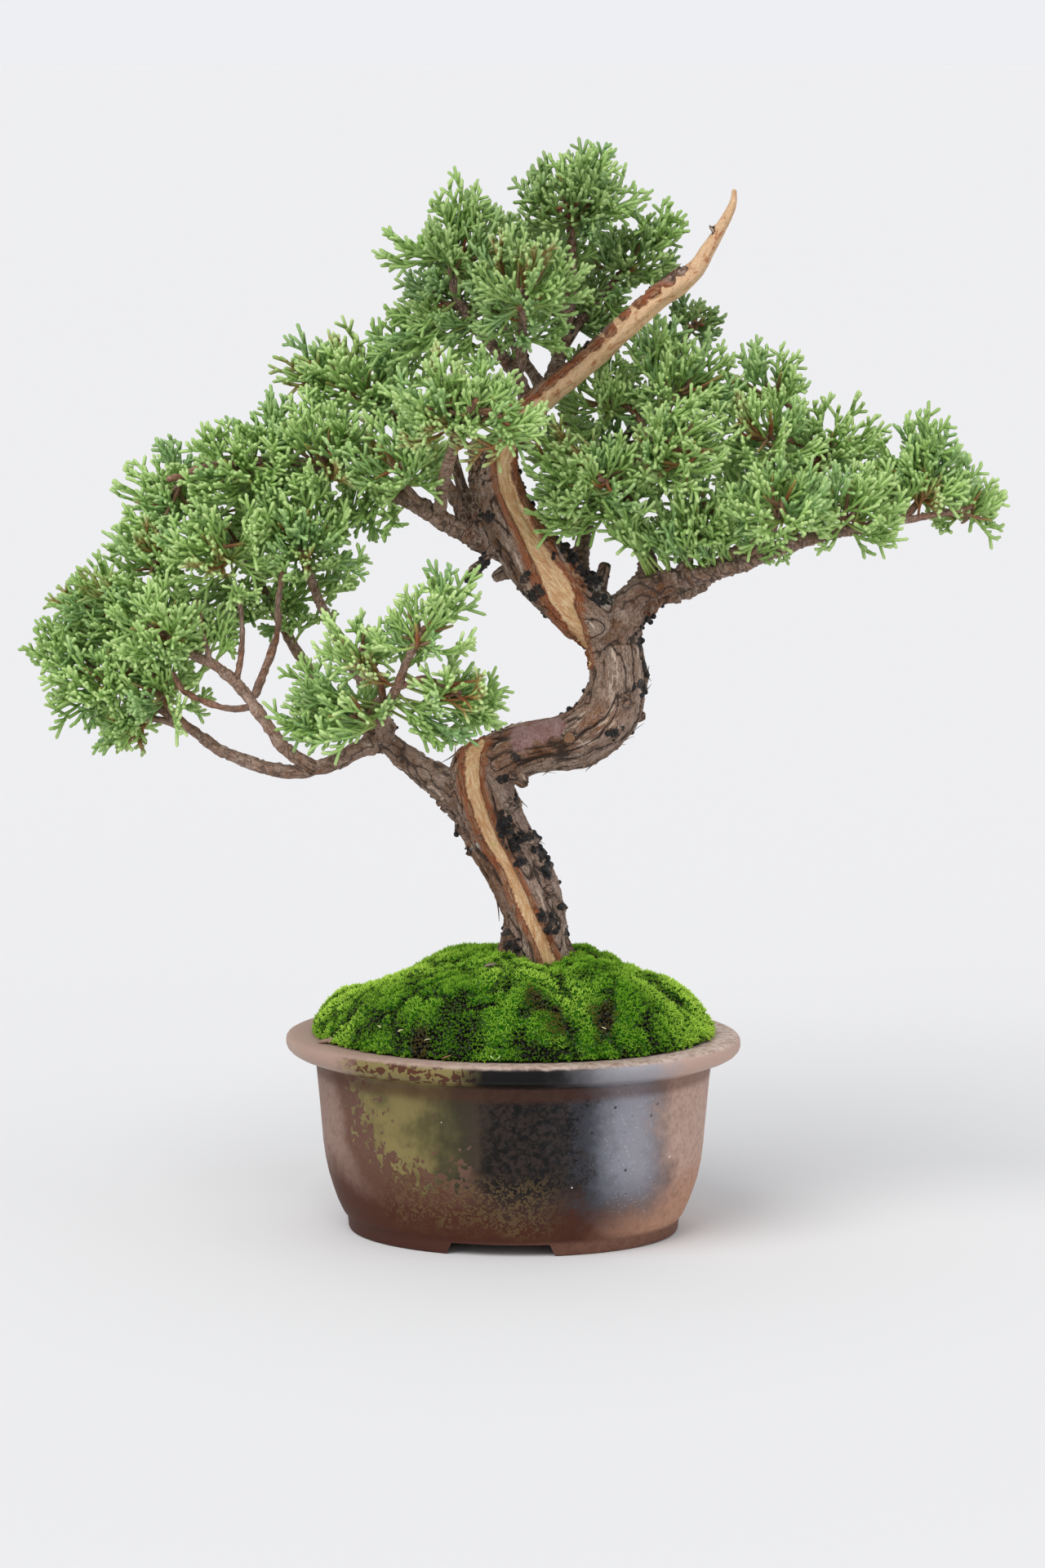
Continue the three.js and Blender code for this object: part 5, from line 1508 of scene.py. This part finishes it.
# Cord colour: deep inside the spray, as older cords and painted shade, green along the cord and fresh
# at its tip. Where a sprig leaves its bough it is an olive stem, and a few sprigs have turned rusty
# but for their tips.
def leafPaint(bareStem, groupTone, tone, age, inside, rng):
    shades = leafShades
    cord = rng.uniform(-0.15, 0.15, (len(age), 1))
    if bareStem:
        rusty = smoothStep(0.1, 0.3, age) * smoothStep(0.0, 0.1, cord)
        paint = blended(shades["brown"], shades["rust"], rusty)
        return withAlpha(blended(paint, shades["stem"], smoothStep(0.4, 0.6, age)))
    outer = smoothStep(0.25, 0.8, inside)
    # Cords deep inside the spray are painted darker: older growth and painted shade
    paint = blended(shades["deep"], shades["green"], np.clip(0.35 + 0.65 * outer + cord, 0, 1))
    paint = blended(paint, shades["blue"], smoothStep(0.6, 1.0, 1 - tone + cord) * 0.5)
    fresh = smoothStep(0.5, 1.0, age) * outer * np.clip(0.1 + groupTone * 0.6 + 0.4 * tone + cord, 0, 1)
    paint = blended(paint, shades["fresh"], fresh)
    paint = blended(paint, shades["stem"], smoothStep(0.3, 0.1, age) * 0.7)
    paint = blended(paint, shades["rust"], smoothStep(0.95, 0.96, tone) * smoothStep(0.8, 0.55, age) * 0.9)
    return withAlpha(paint * (0.55 + 0.46 * smoothStep(0.2, 0.5, groupTone)))


# How fresh a group's tips are (tone), how full its sprays (open) and how long its sprigs (long)
usual = {"tone": 0.45, "open": 1.0, "long": 1.0}
habits = {
    "leftFront": {"tone": 0.42}, "topFront": {"tone": 0.36}, "top": {"tone": 0.3}, "topLeft": {"tone": 0.32},
    "topRight": {"tone": 0.3}, "low": {"tone": 0.6}, "rearStem": {"tone": 0.1}, "rightRise": {"tone": 0.4},
    "rightBack": {"tone": 0.42}, "lowFront": {"tone": 0.9, "open": 0.52, "long": 1.35},
}


def listSprays():
    return [{**usual, **habits.get(limb, {}), "name": "%s_%d" % (limb, at + 1), "limb": limb, "row": row}
            for limb, rows in sprayGroups.items() for at, row in enumerate(rows)]


# The painted cords with their scale leaves: two spirals of grooves that cross each other
def foliageLook():
    material, shader, place = newLook("foliageLook", {"Roughness": 0.5, "Specular IOR Level": 0.4})
    cosine, sine, along = markOf(place, "grain", 1).parts()
    angle, along = sine.maths("ARCTAN2", sine, cosine), along * math.pi
    leaf = ((along + angle).sine() * (along - angle).sine()).size().between(0.0, 0.5)
    fine = noiseAt(place, 2.4, 3, 0.6)
    shade = brightened(markOf(place, "paint"), (leaf - 0.7) * 0.03 + (fine - 0.5) * 0.05)
    connect(shader, Base_Color=shade, Normal=bumpOf(leaf, 0.18, 0.5))
    return material


def buildFoliage(sprays):
    look = foliageLook()
    triangles = 0
    for number, spray in enumerate(sprays):
        points, faces, marks = sprayShape(spray, np.random.default_rng(seeds["sprays"] + number))
        node = "foliage_" + spray["name"]
        makePiece("sprigs_" + spray["name"], points, faces, look, "foliage", [node], marks)
        triangles += sum(len(group) * (group.shape[1] - 2) for group in faces)
    points, faces, marks = limbSprigs(np.random.default_rng(seeds["limbSprigs"]))
    makePiece("sprigsAlongLimbs", points, faces, look, "foliage", marks=marks)
    print("foliage,", triangles, "triangles in", len(sprays), "sprays")


# A plain pale floor and soft light from the front, the left and above. The sky is as bright as the
# lit floor where they meet, and a little less bright higher up. Each sun has its strength, its
# width and its turn.
studio = {
    "floor": colour(229, 228, 227), "horizon": colour(238, 239, 242), "top": colour(196, 198, 204),
    "floorReach": 60000, "floorDrop": 0.05, "sky": (0.1, 0.8),
    "key": (1.75, math.radians(44), (math.radians(40), 0, math.radians(-30))),
    "fill": (0.35, math.radians(70), (math.radians(60), 0, math.radians(55))),
}


def addStudio():
    material, shader, place = newLook("floorLook", {"Roughness": 0.8, "Specular IOR Level": 0.1})
    speckle = noiseAt(place, 400, 2, 0.5)
    connect(shader, Base_Color=mixed(speckle * 0.05, studio["floor"], studio["horizon"]))
    angles = turnsOf(96)
    ring = np.stack([np.cos(angles), np.sin(angles), 0 * angles], -1) * studio["floorReach"]
    outline = [np.arange(len(ring))[None]]
    makePiece("floor", ring - studio["floorDrop"] * up, outline, material, None)
    for name in ("key", "fill"):
        light = bpy.data.objects.new(name, bpy.data.lights.new(name, "SUN"))
        light.data.energy, light.data.angle, light.rotation_euler = studio[name]
        scene.collection.objects.link(light)
    scene.world = scene.world or bpy.data.worlds.new("studio")
    scene.world.use_nodes = True
    tree = scene.world.node_tree
    background = tree.nodes["Background"]
    heading = Socket(tree, tree.nodes.new("ShaderNodeTexCoord").outputs["Generated"])
    sky = mixed(heading.parts()[2].between(*studio["sky"]), studio["horizon"], studio["top"])
    tree.links.new(sky.out, background.inputs["Color"])
    background.inputs["Strength"].default_value = 1.0
    scene.view_settings.view_transform = "Standard"


addCamera()
addStudio()
print("camera and studio")
buildPot()
dressHidden()
print("pot")
buildMoss()
print("moss")
allSprays = listSprays()
woodLook = barkLook(barkShades)
buildTrunk(woodLook)
buildLimbs(allSprays, woodLook)
print("wood")
buildFoliage(allSprays)
